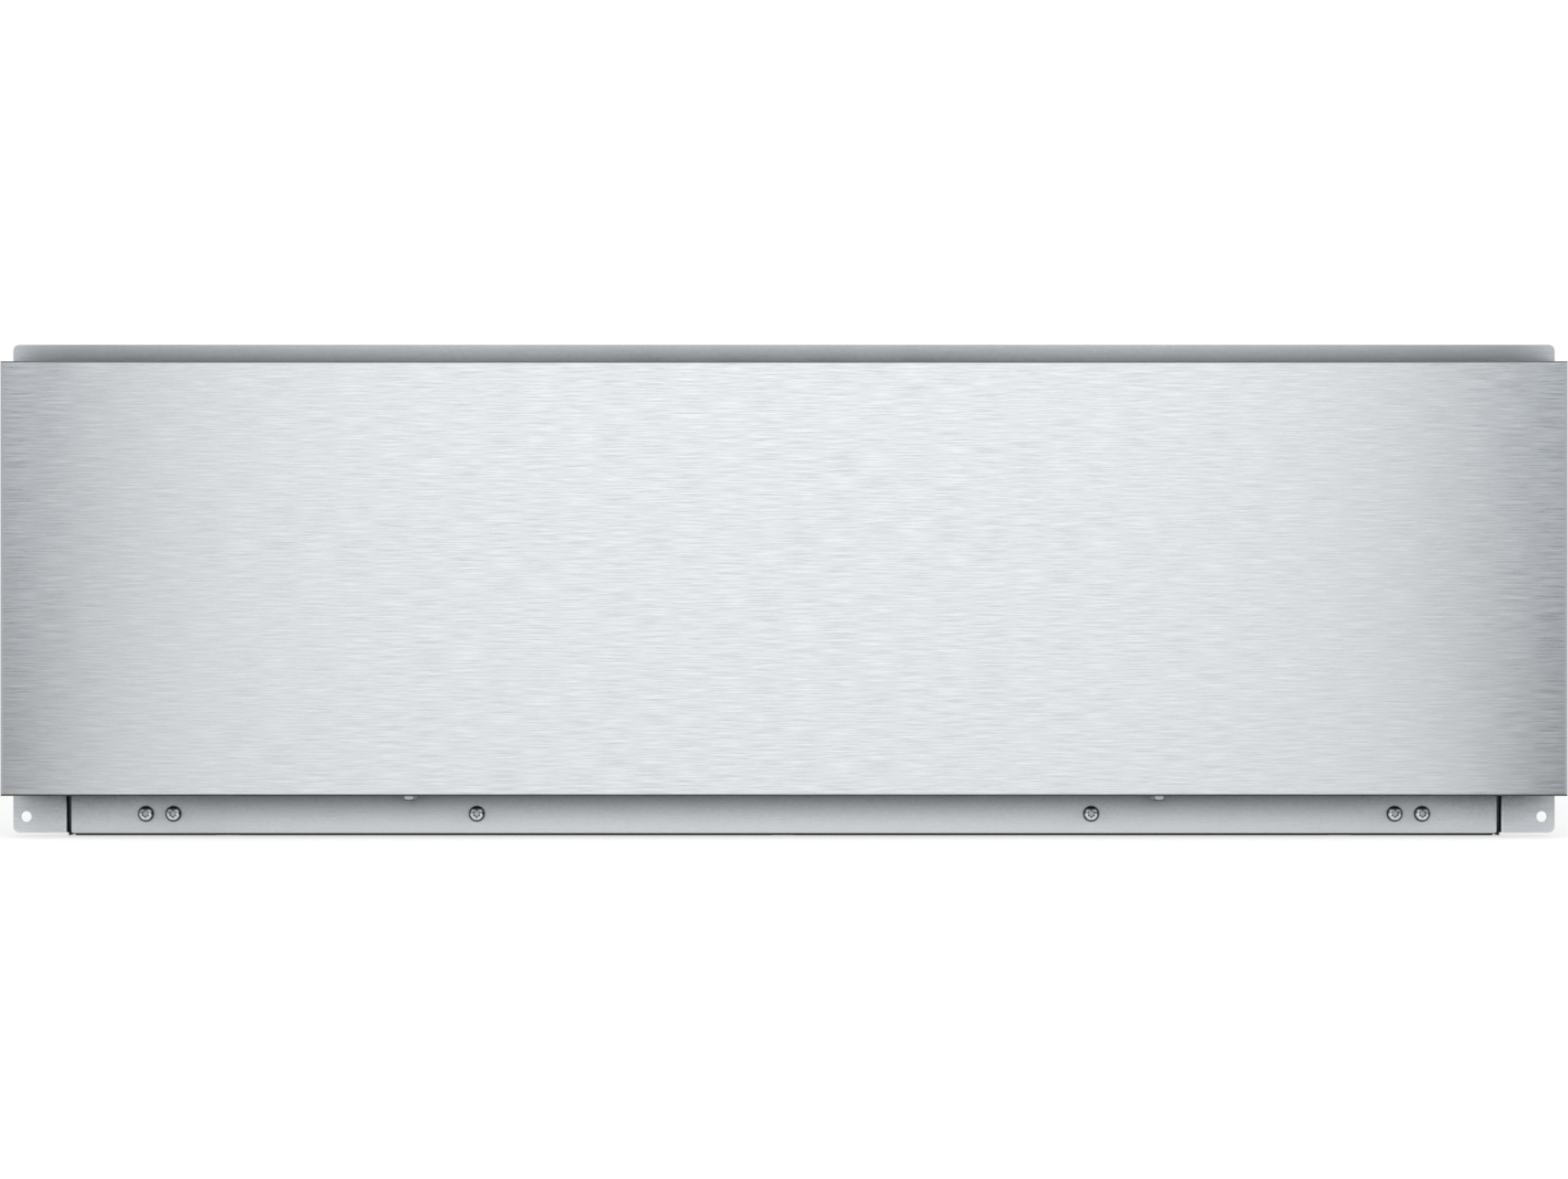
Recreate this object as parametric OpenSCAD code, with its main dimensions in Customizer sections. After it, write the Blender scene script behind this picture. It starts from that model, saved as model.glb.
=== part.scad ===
// Built-in warming drawer with a push-to-open front.
// X runs to the right, Y to the rear and Z up. The origin is under the middle of the whole
// object, on the surface that it stands on. All lengths are in millimetres.

/* [Drawer front] */
// Width of the folded front panel
panel_w = 755.6; // [745:0.1:770]
// Height of the front panel
panel_h = 209.7; // [206:0.1:214]
// Depth of the front panel's folded edges
panel_d = 18; // [16:0.5:24]
// Sheet thickness of the front panel
panel_t = 1.2; // [1:0.05:1.3]
// Outer radius of the front panel's folds
panel_bend = 1.4; // [1.35:0.05:3]
// Width of the lips folded in behind the panel
panel_lip = 12; // [10:0.5:16]
// Height of the panel's lower edge above the base
panel_z = 20.4; // [19.6:0.1:21]
// Thickness of the inner front plate
liner_t = 1; // [0.8:0.1:1.2]
// How far the inner front plate stops short of the panel's sides and top
liner_inset = 3.8; // [3:0.1:5]
// Gap between the inner front plate and the front frame when shut
seal_gap = 5; // [4.6:0.1:7]
// Offset of the two screws under the panel from the middle
panel_screw_x = 181.5; // [120:0.1:220]

/* [Front frame] */
// How far the frame stops short of the panel on each side
frame_in = 1.9; // [1:0.1:4]
// Height of the frame's top edge above the panel's
frame_rise = 9.3; // [7:0.1:12]
// Height of the frame's lower edge above the base
frame_z = 1.4; // [0.8:0.1:3]
// Sheet thickness of the frame and the lower rail
frame_t = 1.2; // [1:0.1:1.4]
// Width of each side tab
tab_w = 26.5; // [25:0.1:28]
// Radius of the frame's outer corners
frame_corner = 3; // [1:0.5:6]
// Outer radius of the bends in the frame and the lower rail
frame_bend = 1.5; // [1.45:0.05:2.5]
// Depth of the frame's side returns
return_d = 22; // [18:1:26]
// Height of the bar across the top of the opening
bar_h = 41.4; // [40:0.1:43]
// Depth of the lip under the top bar
bar_lip = 14; // [10:1:18]
// Diameter of the cabinet screw holes
mount_hole_d = 5.2; // [4.5:0.1:6]
// Distance of the cabinet screw holes from the side edges
mount_hole_in = 6.3; // [5.5:0.1:9]
// Distance of the lower screw holes from the lower edge
mount_hole_up = 7.8; // [6:0.1:12]
// Distance of the upper screw holes from the top edge
mount_hole_down = 24.4; // [18:0.1:30]

/* [Lower rail] */
// Height of the rail
rail_h = 30; // [28:0.5:30.5]
// Gap between each end of the rail and the frame
rail_gap = 1.9; // [1:0.1:3]
// Depth of the rail's bottom return
rail_return = 15; // [10:1:20]
// Width of the chamfer at each lower end
rail_chamfer_w = 2.4; // [1:0.1:4]
// Height of the chamfer at each lower end
rail_chamfer_h = 1.8; // [1:0.1:3]
// Width of the notches in the lower edge
notch_w = 11; // [6:0.5:16]
// Height of the notches
notch_h = 0.45; // [0.3:0.05:0.8]
// Distance of the outer notches from the rail's ends
notch_in = 76.2; // [65:0.1:110]
// Distance of the outermost rail screws from the rail's ends
rail_screw_in = 36.3; // [32:0.1:44]
// Distance between the two screws of each outer pair
rail_screw_pair = 13.4; // [10:0.1:18]
// Distance of the inner rail screws from the middle
rail_screw_inner = 149.8; // [120:0.1:200]
// Height of the rail screws above the base
rail_screw_z = 10.6; // [8:0.1:13]

/* [Screws] */
// Head diameter of the pan-head screws
pan_head_d = 7.2; // [6.4:0.1:7.6]
// Head height of the pan-head screws
pan_head_h = 2; // [1.6:0.1:2.2]
// Shank diameter of the pan-head screws
pan_shank_d = 4; // [3.5:0.1:4.2]
// Diameter of the star recess in the heads
star_d = 4.2; // [3:0.1:4.6]
// Width across the flats of the hexagon heads
hex_af = 6.9; // [6:0.1:8]
// Height of the hexagon heads
hex_head_h = 2.6; // [1.8:0.1:3]
// Clearance between a screw's shank and its hole
shank_clear = 0.1; // [0.05:0.05:0.3]

/* [Chassis] */
// Depth of the chassis from the frame's face to the rear wall's outer face
chassis_d = 560; // [556:1:600]
// Drop of the top cover below the frame's top edge
cover_drop = 7.4; // [5:0.1:8]
// Sheet thickness of the side and rear walls
wall_t = 1.2; // [1:0.1:1.4]
// Distance of the side walls' front edges behind the frame's face
wall_start = 3; // [2:0.5:5]
// Width of the flanges at the top and rear of the side walls
wall_flange = 14; // [12:1:18]
// Width of the feet folded in under the side walls
wall_foot = 22; // [18:1:30]
// Sheet thickness of the top cover and the base pan
cover_t = 0.8; // [0.6:0.1:1]
// Depth of the top cover's side skirts
skirt_h = 10; // [8:1:14]
// Height of the base pan's turned-up edges
pan_lip = 16; // [15:0.5:17]
// Length of the ventilation slots
vent_l = 60; // [40:1:70]
// Width of the ventilation slots
vent_w = 4; // [3:0.5:5]
// Spacing of the ventilation slots
vent_pitch = 10; // [8:0.5:11]
// Number of slots in each group
vent_count = 6; // [3:1:6]

/* [Cavity] */
// Sheet thickness of the cavity plates
inner_t = 0.8; // [0.6:0.1:1]
// Depth of the rear compartment behind the cavity
compartment_d = 55; // [52:1:58]
// Width of the channels in the cavity's sides, which hold the insulation
channel_w = 20; // [18:0.5:24]
// Height of the cavity side plates' lower edge above the base
cavity_z = 28; // [26:0.5:30]
// Distance of the cavity plates' front edges behind the frame's face
cavity_start = 4; // [3.6:0.1:6]
// Clearance around the insulation pads
pad_clear = 0.3; // [0.3:0.05:0.5]
// Thickness of the top insulation
top_pad_t = 28; // [20:1:30]
// Depth of the space for the controls behind the top bar
control_d = 40; // [30:1:60]

/* [Drawer box] */
// Gap between the drawer box and the lower rail
box_lift = 2; // [1.5:0.1:4]
// Gap between the drawer box's rim and the ceiling
box_headroom = 7.2; // [5:0.1:15]
// Gap between the drawer box and the cavity's rear plate
box_rear_gap = 19; // [18:0.5:25]
// Sheet thickness of the drawer box
box_t = 1; // [0.8:0.1:1.2]
// Radius of the drawer box's upright corners
box_corner = 15; // [8:1:25]
// Width of the rim turned out along the sides
rim_w = 9; // [6:0.5:10]
// Number of stiffening beads in the floor
bead_count = 7; // [3:1:9]
// Radius of the beads
bead_r = 4; // [3:0.5:6]
// Height of the beads above the floor
bead_h = 1.2; // [0.8:0.1:2]
// Number of warm-air slots along each side
air_count = 10; // [6:1:14]
// Spacing of the warm-air slots
air_pitch = 36; // [28:1:36]

/* [Drawer slides] */
// Distance of the slides' front ends behind the frame's face
slide_start = 20; // [16:1:24]
// Distance of the slides' rear ends in front of the cavity's rear plate
slide_end_gap = 35; // [25:1:50]
// Height of the slides' middle above the base
slide_z = 104; // [98:1:110]
// Thickness of a closed slide
slide_t = 12.7; // [12.7:0.1:13.2]
// Height of the outer slide member
slide_h = 45; // [45:0.5:48]
// Sheet thickness of the slide members
rail_t = 1.2; // [1:0.1:1.25]
// Diameter of the balls
ball_d = 5.2; // [5:0.05:5.3]
// How deep a ball sits in each of its two grooves
groove_depth = 0.1; // [0.05:0.05:0.1]
// Clearance between a ball and its groove
groove_clear = 0.15; // [0.1:0.05:0.25]
// Clearance between neighbouring slide parts
nest_clear = 0.4; // [0.3:0.05:0.4]
// Sheet thickness of the ball cages
cage_t = 0.4; // [0.3:0.05:0.45]
// Length of the ball cages
cage_length = 180; // [150:1:190]
// Balls in each row
ball_count = 6; // [4:1:7]
// Spacing of the balls
ball_pitch = 28; // [20:1:28]

/* [Touch latch] */
// How far the front can be pushed in
push_travel = 2.5; // [2:0.1:3]
// Distance of the latches from the middle
latch_x = 240; // [200:1:270]
// Height of the latches above the base
latch_z = 150; // [140:1:160]
// Diameter of the latch plungers
plunger_d = 10; // [8:0.5:12]
// Length of the latch plungers
plunger_l = 30; // [26:1:34]
// Running clearance around a plunger
plunger_clear = 0.08; // [0.05:0.01:0.1]
// Length of the latch housings' barrels
barrel_l = 43; // [36:1:46]
// Wall thickness of the latch housings' barrels
barrel_wall = 3; // [2:0.5:4]
// Gap between a plunger and its striker with the front pushed right in
striker_gap = 0.2; // [0.1:0.05:0.4]
// Size of the square striker plates
striker_size = 24; // [16:1:30]
// Thickness of the striker plates
striker_t = 2; // [1:0.5:3]

/* [Heating] */
// Diameter of the heating element's tube
element_d = 6.5; // [6:0.5:8]
// Number of straight runs
element_runs = 8; // [4:2:8]
// Spacing of the runs
element_pitch = 70; // [60:1:72]
// Height of the element above the base
element_z = 20; // [19:0.5:22]
// Distance of the front bends' centres behind the frame's face
element_front = 110; // [90:1:140]
// Distance of the rear bends' centres behind the frame's face
element_rear = 410; // [380:1:440]
// Height of the reflector tray above the base
reflector_z = 9; // [8:0.5:10]
// Width of the reflector tray
reflector_w = 600; // [580:1:620]

/* [Controls] */
// Width of the control strip
strip_w = 240; // [220:1:280]
// Height of the control strip
strip_h = 20; // [16:0.5:21]
// Thickness of the control strip
strip_t = 2.7; // [2.4:0.1:3.2]
// Distance of the strip's middle below the frame's top edge
strip_drop = 21.4; // [21:0.1:22]
// Diameter of the push buttons
button_d = 10; // [8:0.5:12]
// Spacing of the push buttons
button_pitch = 44; // [36:1:50]
// Travel of the push buttons
button_travel = 1; // [0.6:0.1:1.2]
// How far the buttons stand out of the strip
button_out = 0.8; // [0.5:0.1:1]
// Clearance around a button
button_clear = 0.2; // [0.1:0.05:0.3]
// Distance of the circuit board behind the frame's face
board_y = 12; // [11.5:0.5:14]

/* [Power inlet] */
// Bore of the cord gland
gland_bore_d = 11; // [9:0.5:13]
// Diameter of the gland's threaded body
gland_body_d = 20; // [18:0.5:22]
// How far the gland stands out of the rear wall
gland_out = 10; // [8:0.5:16]
// Distance of the gland from the middle
gland_x = 170; // [150:1:190]
// Height of the gland above the base
gland_z = 48; // [40:1:60]

/* [Hidden] */
$fn = 48;

stainless = [0.78, 0.80, 0.81];
galvanised = [0.68, 0.71, 0.73];
zinc = [0.74, 0.76, 0.78];
steel = [0.82, 0.82, 0.82];
wool = [0.86, 0.82, 0.70];
black_plastic = [0.08, 0.08, 0.09];
grey_plastic = [0.55, 0.56, 0.58];
silicone = [0.25, 0.26, 0.28];
board_green = [0.10, 0.36, 0.20];
ceramic = [0.92, 0.90, 0.85];
dark_metal = [0.30, 0.30, 0.31];

// Overlap by which a cut runs past the face that it opens
cut = 1;

// Depth stations, from the front to the rear
panel_stand = panel_d + liner_t + seal_gap;
overall_d = panel_stand + chassis_d + gland_out;
front_y = -overall_d / 2;
liner_y = front_y + panel_d;
box_y = liner_y + liner_t;
frame_y = front_y + panel_stand;
wall_y = frame_y + wall_start;
cavity_y = frame_y + cavity_start;
rear_y = frame_y + chassis_d;
cavity_back = rear_y - compartment_d;
box_back = cavity_back - box_rear_gap;
box_d = box_back - box_y;
compartment_y = (cavity_back + rear_y) / 2;

// Widths
frame_w = panel_w - 2 * frame_in;
body_x = frame_w / 2 - tab_w;
wall_x = body_x - wall_t;
rail_x = body_x - rail_gap;
cavity_x = wall_x - channel_w;
box_x = cavity_x - slide_t;
box_w = 2 * box_x;

// Heights
panel_top = panel_z + panel_h;
frame_top = panel_top + frame_rise;
frame_h = frame_top - frame_z;
bar_z = frame_top - bar_h;
ceiling_z = bar_z - inner_t;
chassis_h = frame_top - cover_drop;
cover_z = chassis_h - cover_t;
pan_z = max(frame_t, wall_t);
pan_top = pan_z + cover_t;
box_z = rail_h + box_lift;
box_top = ceiling_z - box_headroom;
box_h = box_top - box_z;

// Cabinet screw holes
mount_x = frame_w / 2 - mount_hole_in;
mount_low = frame_z + mount_hole_up;
mount_high = frame_top - mount_hole_down;

// Drawer front: the screws under it and behind it, and its seal
panel_screw_in = 11;
panel_screw_y = front_y + panel_screw_in;
hex_shank_l = 10;
liner_foot = 14;
boss_h = 5;
boss_d = 2 * pan_shank_d;
lip_screw_in = 31;
lip_screw_x = panel_w / 2 - (panel_lip + liner_inset) / 2;
lip_screw_places = [panel_z + lip_screw_in, panel_z + panel_h / 2, panel_top - lip_screw_in];
top_screw_z = panel_top - (panel_lip + liner_inset) / 2;
top_screw_places = [166, 287];
gasket_w = 5;
gasket_t = seal_gap - push_travel - pad_clear;

// Angles between the drawer box and its front
bracket_t = 1.5;
bracket_leg = 26;
bracket_side = 32;
bracket_margin = 8;
bracket_screw_out = 16;
bracket_screw_x = box_x + bracket_screw_out;
bracket_spans = [
  [box_z + bracket_margin, slide_z - slide_h / 2 - bracket_margin],
  [slide_z + slide_h / 2 + bracket_margin, box_top - 2 * bracket_margin],
];
bracket_screw_places = [for (span = bracket_spans) (span[0] + span[1]) / 2];

// Warm-air slots low in the drawer box, and how far the floor's beads stop short of its ends
air_up = 16;
bead_end = 50;
air_z = box_z + air_up;
air_l = 22;
air_w = 5;

// Lower rail and frame: lengths and places of the screws
screw_l = 8;
short_screw_l = 6;
notch_x = rail_x - notch_in;
rail_screw_x = rail_x - rail_screw_in;
rail_screw_places = [
  for (s = [-1, 1], x = [rail_screw_x, rail_screw_x - rail_screw_pair, rail_screw_inner]) s * x
];
frame_screw_in = 12;
frame_screw_y = frame_y + frame_screw_in;
frame_screw_places = [cavity_z + frame_screw_in, (cavity_z + bar_z) / 2, bar_z + frame_screw_in];

// Base pan, held clear of the walls and of the rail's inner bend
pan_clear = 0.3;
pan_x = wall_x - pan_clear;
pan_y = frame_y + frame_t + pan_clear;
pan_back = rear_y - 2 * wall_t - pan_clear;
foot_gap = 2;
foot_y = frame_y + rail_return + foot_gap;

// Rear wall and top cover
rear_screw_in = 30;
rear_screw_x = wall_x - wall_flange / 2;
rear_screw_places = [rear_screw_in, chassis_h / 2, chassis_h - rear_screw_in];
cover_screw_front = 60;
cover_screw_back = 40;
cover_screw_places = [frame_y + cover_screw_front, frame_y + chassis_d / 2, rear_y - cover_screw_back];
skirt_clear = 0.1;
skirt_gap = 2;
skirt_y = frame_y + return_d + skirt_gap;

// Vents in the rear wall, the top cover, the side walls and the base pan
vent_places = [144, 228];
rear_vent_z = 162;
side_vent_l = 32;
floor_vent_count = 3;

// Opening in the rear wall at the terminal block, and its cover
access_x = 230;
access_z = 110;
access_w = 100;
access_h = 60;
access_corner = 6;
access_margin = 9;
cover_bulge = 6;
access_screw_places = [
  for (sx = [-1, 1], sz = [-1, 1])
    [access_x + sx * (access_w + access_margin) / 2, access_z + sz * access_h / 4]
];

// Control strip, its board, buttons and lamps
strip_z = frame_top - strip_drop;
strip_clear = 0.2;
strip_corner = 2;
strip_lip = 2.5;
post_d = 4.5;
board_t = 1.6;
switch_w = 6;
switch_t = 3.5;
switch_tip = 0.5;
lens_d = 3;
lens_pitch = 8;
button_places = [for (i = [0 : 3]) (i - 1.5) * button_pitch];
lens_gap = 14;
end_lens_x = button_places[3] + lens_gap;
lens_places = [-end_lens_x, -lens_pitch, 0, lens_pitch, for (i = [0 : 2]) end_lens_x + i * lens_pitch];
lens_clear = 0.1;
lens_stand = 0.2;
lens_rim = 0.8;
button_rim = 1.5;
button_rim_t = 1;
stem_d = 3;

// Slides: places across the section, from the cavity side, and rows of balls
middle_u = rail_t + cage_t + 2 * nest_clear;
inner_u = middle_u + rail_t + cage_t + 2 * nest_clear;
race_end = slide_t - rail_t - 2 * nest_clear;
ball_u = inner_u - nest_clear + groove_clear + ball_d / 2;
race_gap = ball_d - 2 * groove_depth;
outer_row = slide_h / 2 - rail_t - race_gap / 2;
middle_h = 2 * outer_row - race_gap;
inner_row = middle_h / 2 - rail_t - race_gap / 2;
inner_h = 2 * inner_row - race_gap;
flush_head_t = 0.8;
slide_y = frame_y + slide_start;
slide_l = cavity_back - slide_end_gap - slide_y;
cage_y = slide_y + (slide_l - cage_length) / 2;
ball_y = cage_y + (cage_length - (ball_count - 1) * ball_pitch) / 2;
slide_screw_in = 30;
slide_screw_places = [
  slide_y + slide_screw_in, slide_y + slide_l / 2, slide_y + slide_l - slide_screw_in
];

// Touch latches
latch_flange = 30;
latch_flange_t = 2;
latch_corner = 3;
barrel_d = plunger_d + 2 * plunger_clear + 2 * barrel_wall;
barrel_clear = 0.3;
plunger_y = box_back + striker_t + push_travel + striker_gap;
spring_clear = 0.1;
spring_d = plunger_d - 1;
spring_wire = 1.5;
spring_y = plunger_y + plunger_l + spring_clear;
spring_l = cavity_back + barrel_l - barrel_wall - spring_clear - spring_y;

// Heating element, its tray, brackets and bushes
element_x = (element_runs - 1) / 2 * element_pitch;
element_places = [for (i = [0 : element_runs - 1]) i * element_pitch - element_x];
bend_front = frame_y + element_front;
bend_rear = frame_y + element_rear;
element_out = 15;
element_end = cavity_back + element_out;
reflector_margin = 15;
reflector_y = bend_front - element_pitch / 2 - reflector_margin;
reflector_back = bend_rear + element_pitch / 2 + 2 * reflector_margin;
clip_runs = [for (i = [0, 2, element_runs - 3, element_runs - 1]) element_places[i]];
clip_in = 40;
clip_places = [bend_front + clip_in, bend_rear - clip_in];
clip_l = 10;
clip_t = 1;
bush_clear = 0.1;
bush_wall = 2.7;
bush_d = element_d + 2 * bush_wall;
bush_l = 8;
bush_flange_t = 2;
bush_rim = 2;

// Sensor, cut-out, boards and terminals in the rear compartment
sensor_x = 120;
sensor_z = 175;
sensor_d = 5;
sensor_l = 12;
sensor_rim = 4;
cutout_x = 30;
cutout_z = 120;
cutout_d = 16;
cutout_t = 8;
blade_w = 6;
blade_t = 0.8;
blade_l = 7;
board_x = -130;
board_top = 150;
board_w = 120;
board_h = 90;
standoff_l = 10;
standoff_d = 6;
standoff_in = 5;
capacitor_d = 10;
capacitor_l = 20;
capacitor_places = [34, 48, 62];
terminal_count = 3;
terminal_pitch = 14;
terminal_wall = 2;
terminal_h = 26;
terminal_d = 20;
terminal_hole_d = 6;
terminal_hole_l = 8;
gland_in = 10;
gland_front = rear_y - gland_in;
gland_nut_t = 5;
gland_nut_d = gland_body_d + 8;

// A solid box between two corners
module box_between(low, high) {
  translate(low) cube(high - low);
}

// A piece on the right and its mirror image on the left
module both_sides() {
  children();
  mirror([1, 0, 0]) children();
}

// An outline drawn in X and Z, extruded from one depth to another
module upright(y0, y1) {
  translate([0, y1, 0]) rotate([90, 0, 0]) linear_extrude(height = y1 - y0) children();
}

// An outline drawn in Y and Z, extruded from one X to another
module lengthwise(x0, x1) {
  translate([x0, 0, 0]) rotate([90, 0, 90]) linear_extrude(height = x1 - x0) children();
}

// A cylinder that runs to the rear from a point
module rod_to_rear(from, d, l) {
  translate(from) rotate([-90, 0, 0]) cylinder(h = l, d = d);
}

// A centred rectangle with round corners
module round_rect(w, h, r) {
  square([w - 2 * r, h], center = true);
  square([w, h - 2 * r], center = true);
  for (sx = [-1, 1], sy = [-1, 1])
    translate([sx * (w / 2 - r), sy * (h / 2 - r)]) circle(r = r);
}

// A centred slot with half-round ends
module slot(l, w) {
  square([l - w, w], center = true);
  for (s = [-1, 1]) translate([s * (l - w) / 2, 0]) circle(d = w);
}

// A centred group of slots, one above the other
module slot_group(l = vent_l, count = vent_count) {
  for (i = [0 : count - 1])
    translate([0, (i - (count - 1) / 2) * vent_pitch]) slot(l, vent_w);
}

// The section of a sheet bent through a right angle, with its outer corner at the origin
module bend_section(a, b, t, r) {
  translate([r, 0]) square([a - r, t]);
  translate([0, r]) square([t, b - r]);
  difference() {
    intersection() {
      translate([r, r]) circle(r = r);
      square([r, r]);
    }
    translate([r, r]) circle(r = r - t);
  }
}

// A rectangle whose two front corners are round
module front_rounded(d, h, r) {
  translate([r, 0]) square([d - r, h]);
  translate([0, r]) square([r, h - 2 * r]);
  for (z = [r, h - r]) translate([r, z]) circle(r = r);
}

// A six-pointed star for a screw's recess
module star(d) {
  polygon([for (i = [0 : 11]) let (r = i % 2 == 0 ? d / 2 : d * 0.36) [r * sin(i * 30), r * cos(i * 30)]]);
}

// A domed pan head on a shank: the head stands on Z = 0 and the shank runs down
module pan_screw(l, head_d = pan_head_d, head_h = pan_head_h, shank_d = pan_shank_d) {
  dome_rise = head_h * 0.6;
  dome_r = (pow(head_d / 2, 2) + pow(dome_rise, 2)) / (2 * dome_rise);
  difference() {
    union() {
      intersection() {
        cylinder(h = head_h, d = head_d);
        translate([0, 0, head_h - dome_r]) sphere(r = dome_r, $fn = 96);
      }
      translate([0, 0, -l]) cylinder(h = l + head_h / 4, d = shank_d);
    }
    translate([0, 0, head_h / 2]) linear_extrude(height = head_h) star(star_d);
  }
}

// The hole that a pan-head screw's shank goes through, at both sides of Z = 0
module shank_hole(depth = 4) {
  translate([0, 0, -depth]) cylinder(h = 2 * depth, d = pan_shank_d + 2 * shank_clear);
}

// Turns a screw that points up so that its head faces the front, the rear or the right
module facing_front() { rotate([90, 0, 0]) children(); }
module facing_rear() { rotate([-90, 0, 0]) children(); }
module facing_right() { rotate([0, 90, 0]) children(); }

module front_frame() {
  color(stainless) difference() {
    intersection() {
      union() {
        both_sides() difference() {
          translate([frame_w / 2 - tab_w, frame_y, frame_z])
            linear_extrude(height = frame_h) bend_section(tab_w, return_d, frame_t, frame_bend);
          box_between([body_x - cut, frame_y + frame_t, cover_z - cut],
                      [body_x + frame_t + cut, frame_y + return_d + cut, frame_top + cut]);
        }
        box_between([-body_x - frame_bend, frame_y, bar_z + frame_bend],
                    [body_x + frame_bend, frame_y + frame_t, frame_top]);
        lengthwise(-pan_x, pan_x)
          translate([frame_y, bar_z]) bend_section(bar_lip, bar_h, frame_t, frame_bend);
      }
      upright(frame_y - cut, frame_y + return_d + cut)
        translate([0, frame_z + frame_h / 2]) round_rect(frame_w, frame_h, frame_corner);
    }
    for (s = [-1, 1], z = [mount_low, mount_high])
      rod_to_rear([s * mount_x, frame_y - cut, z], mount_hole_d, frame_t + 2 * cut);
    upright(frame_y - cut, frame_y + frame_t + cut) translate([0, strip_z])
      round_rect(strip_w + 2 * strip_clear, strip_h + 2 * strip_clear, strip_corner);
    both_sides() for (z = frame_screw_places)
      translate([body_x, frame_screw_y, z]) facing_right() shank_hole();
  }
}

module bottom_front_rail() {
  color(stainless) difference() {
    lengthwise(-rail_x, rail_x) translate([frame_y, 0])
      bend_section(rail_return, rail_h, frame_t, frame_bend);
    both_sides() upright(frame_y - cut, frame_y + rail_return + cut)
      polygon([[rail_x - rail_chamfer_w, -cut], [rail_x - rail_chamfer_w, 0], [rail_x, rail_chamfer_h],
               [rail_x + cut, rail_chamfer_h], [rail_x + cut, -cut]]);
    for (x = [-notch_x, 0, notch_x])
      box_between([x - notch_w / 2, frame_y - cut, -cut],
                  [x + notch_w / 2, frame_y + 2 * frame_bend, notch_h]);
    for (x = rail_screw_places) translate([x, frame_y, rail_screw_z]) facing_front() shank_hole();
  }
}

module rail_screws() {
  color(steel) for (x = rail_screw_places)
    translate([x, frame_y, rail_screw_z]) facing_front() pan_screw(screw_l);
}

module frame_screws() {
  color(steel) both_sides() for (z = frame_screw_places)
    translate([body_x + frame_t, frame_screw_y, z]) facing_right() pan_screw(short_screw_l);
}

module base_pan() {
  low = [-pan_x, pan_y, pan_z];
  high = [pan_x, pan_back, pan_z + pan_lip];
  sheet = [cover_t, cover_t, cover_t];
  color(galvanised) difference() {
    box_between(low, high);
    box_between(low + sheet, high - sheet + [0, 0, cover_t + cut]);
    for (x = rail_screw_places) translate([x, pan_y, rail_screw_z]) facing_front() shank_hole();
    for (x = [-gland_x, 0, gland_x])
      translate([x, compartment_y, 0]) linear_extrude(height = pan_z + pan_lip)
        slot_group(vent_l, floor_vent_count);
  }
}

// The right-hand side wall, with its foot, its top and rear flanges and its vents
module side_wall() {
  difference() {
    union() {
      box_between([wall_x, wall_y, 0], [body_x, rear_y - wall_t, cover_z]);
      box_between([wall_x - wall_foot, foot_y, 0], [body_x, rear_y - wall_t, wall_t]);
      box_between([wall_x - wall_flange, wall_y, cover_z - wall_t], [body_x, rear_y - wall_t, cover_z]);
      box_between([wall_x - wall_flange, rear_y - 2 * wall_t, 0], [body_x, rear_y - wall_t, cover_z]);
    }
    for (z = frame_screw_places)
      translate([body_x, frame_screw_y, z]) facing_right() shank_hole();
    for (z = rear_screw_places) translate([rear_screw_x, rear_y, z]) facing_rear() shank_hole();
    for (y = cover_screw_places) translate([rear_screw_x, y, chassis_h]) shank_hole();
    lengthwise(wall_x - cut, body_x + cut)
      translate([compartment_y, chassis_h / 2]) slot_group(side_vent_l, vent_count);
  }
}

module right_side_wall() { color(galvanised) side_wall(); }
module left_side_wall() { color(galvanised) mirror([1, 0, 0]) side_wall(); }

module rear_wall() {
  color(galvanised) difference() {
    box_between([-body_x, rear_y - wall_t, 0], [body_x, rear_y, cover_z]);
    rod_to_rear([gland_x, rear_y - wall_t - cut, gland_z], gland_body_d + 2 * shank_clear, wall_t + 2 * cut);
    upright(rear_y - wall_t - cut, rear_y + cut) {
      translate([access_x, access_z]) round_rect(access_w, access_h, access_corner);
      for (x = vent_places) translate([-x, rear_vent_z]) slot_group();
    }
    both_sides() for (z = rear_screw_places) translate([rear_screw_x, rear_y, z]) facing_rear() shank_hole();
    for (p = access_screw_places) translate([p[0], rear_y, p[1]]) facing_rear() shank_hole();
  }
}

module rear_screws() {
  color(steel) {
    both_sides() for (z = rear_screw_places)
      translate([rear_screw_x, rear_y, z]) facing_rear() pan_screw(short_screw_l);
    for (p = access_screw_places)
      translate([p[0], rear_y + cover_t, p[1]]) facing_rear() pan_screw(short_screw_l);
  }
}

module top_cover() {
  color(galvanised) difference() {
    union() {
      box_between([-body_x - skirt_clear - cover_t, skirt_y, cover_z],
                  [body_x + skirt_clear + cover_t, rear_y, chassis_h]);
      box_between([-body_x, cavity_y, cover_z], [body_x, skirt_y + cut, chassis_h]);
      both_sides() box_between([body_x + skirt_clear, skirt_y, chassis_h - skirt_h],
                               [body_x + skirt_clear + cover_t, rear_y, chassis_h]);
    }
    both_sides() for (y = cover_screw_places) translate([rear_screw_x, y, chassis_h]) shank_hole();
    for (s = [-1, 1], x = vent_places)
      translate([s * x, compartment_y, cover_z - cut]) linear_extrude(height = cover_t + 2 * cut)
        slot_group(vent_l, floor_vent_count);
  }
}

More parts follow.
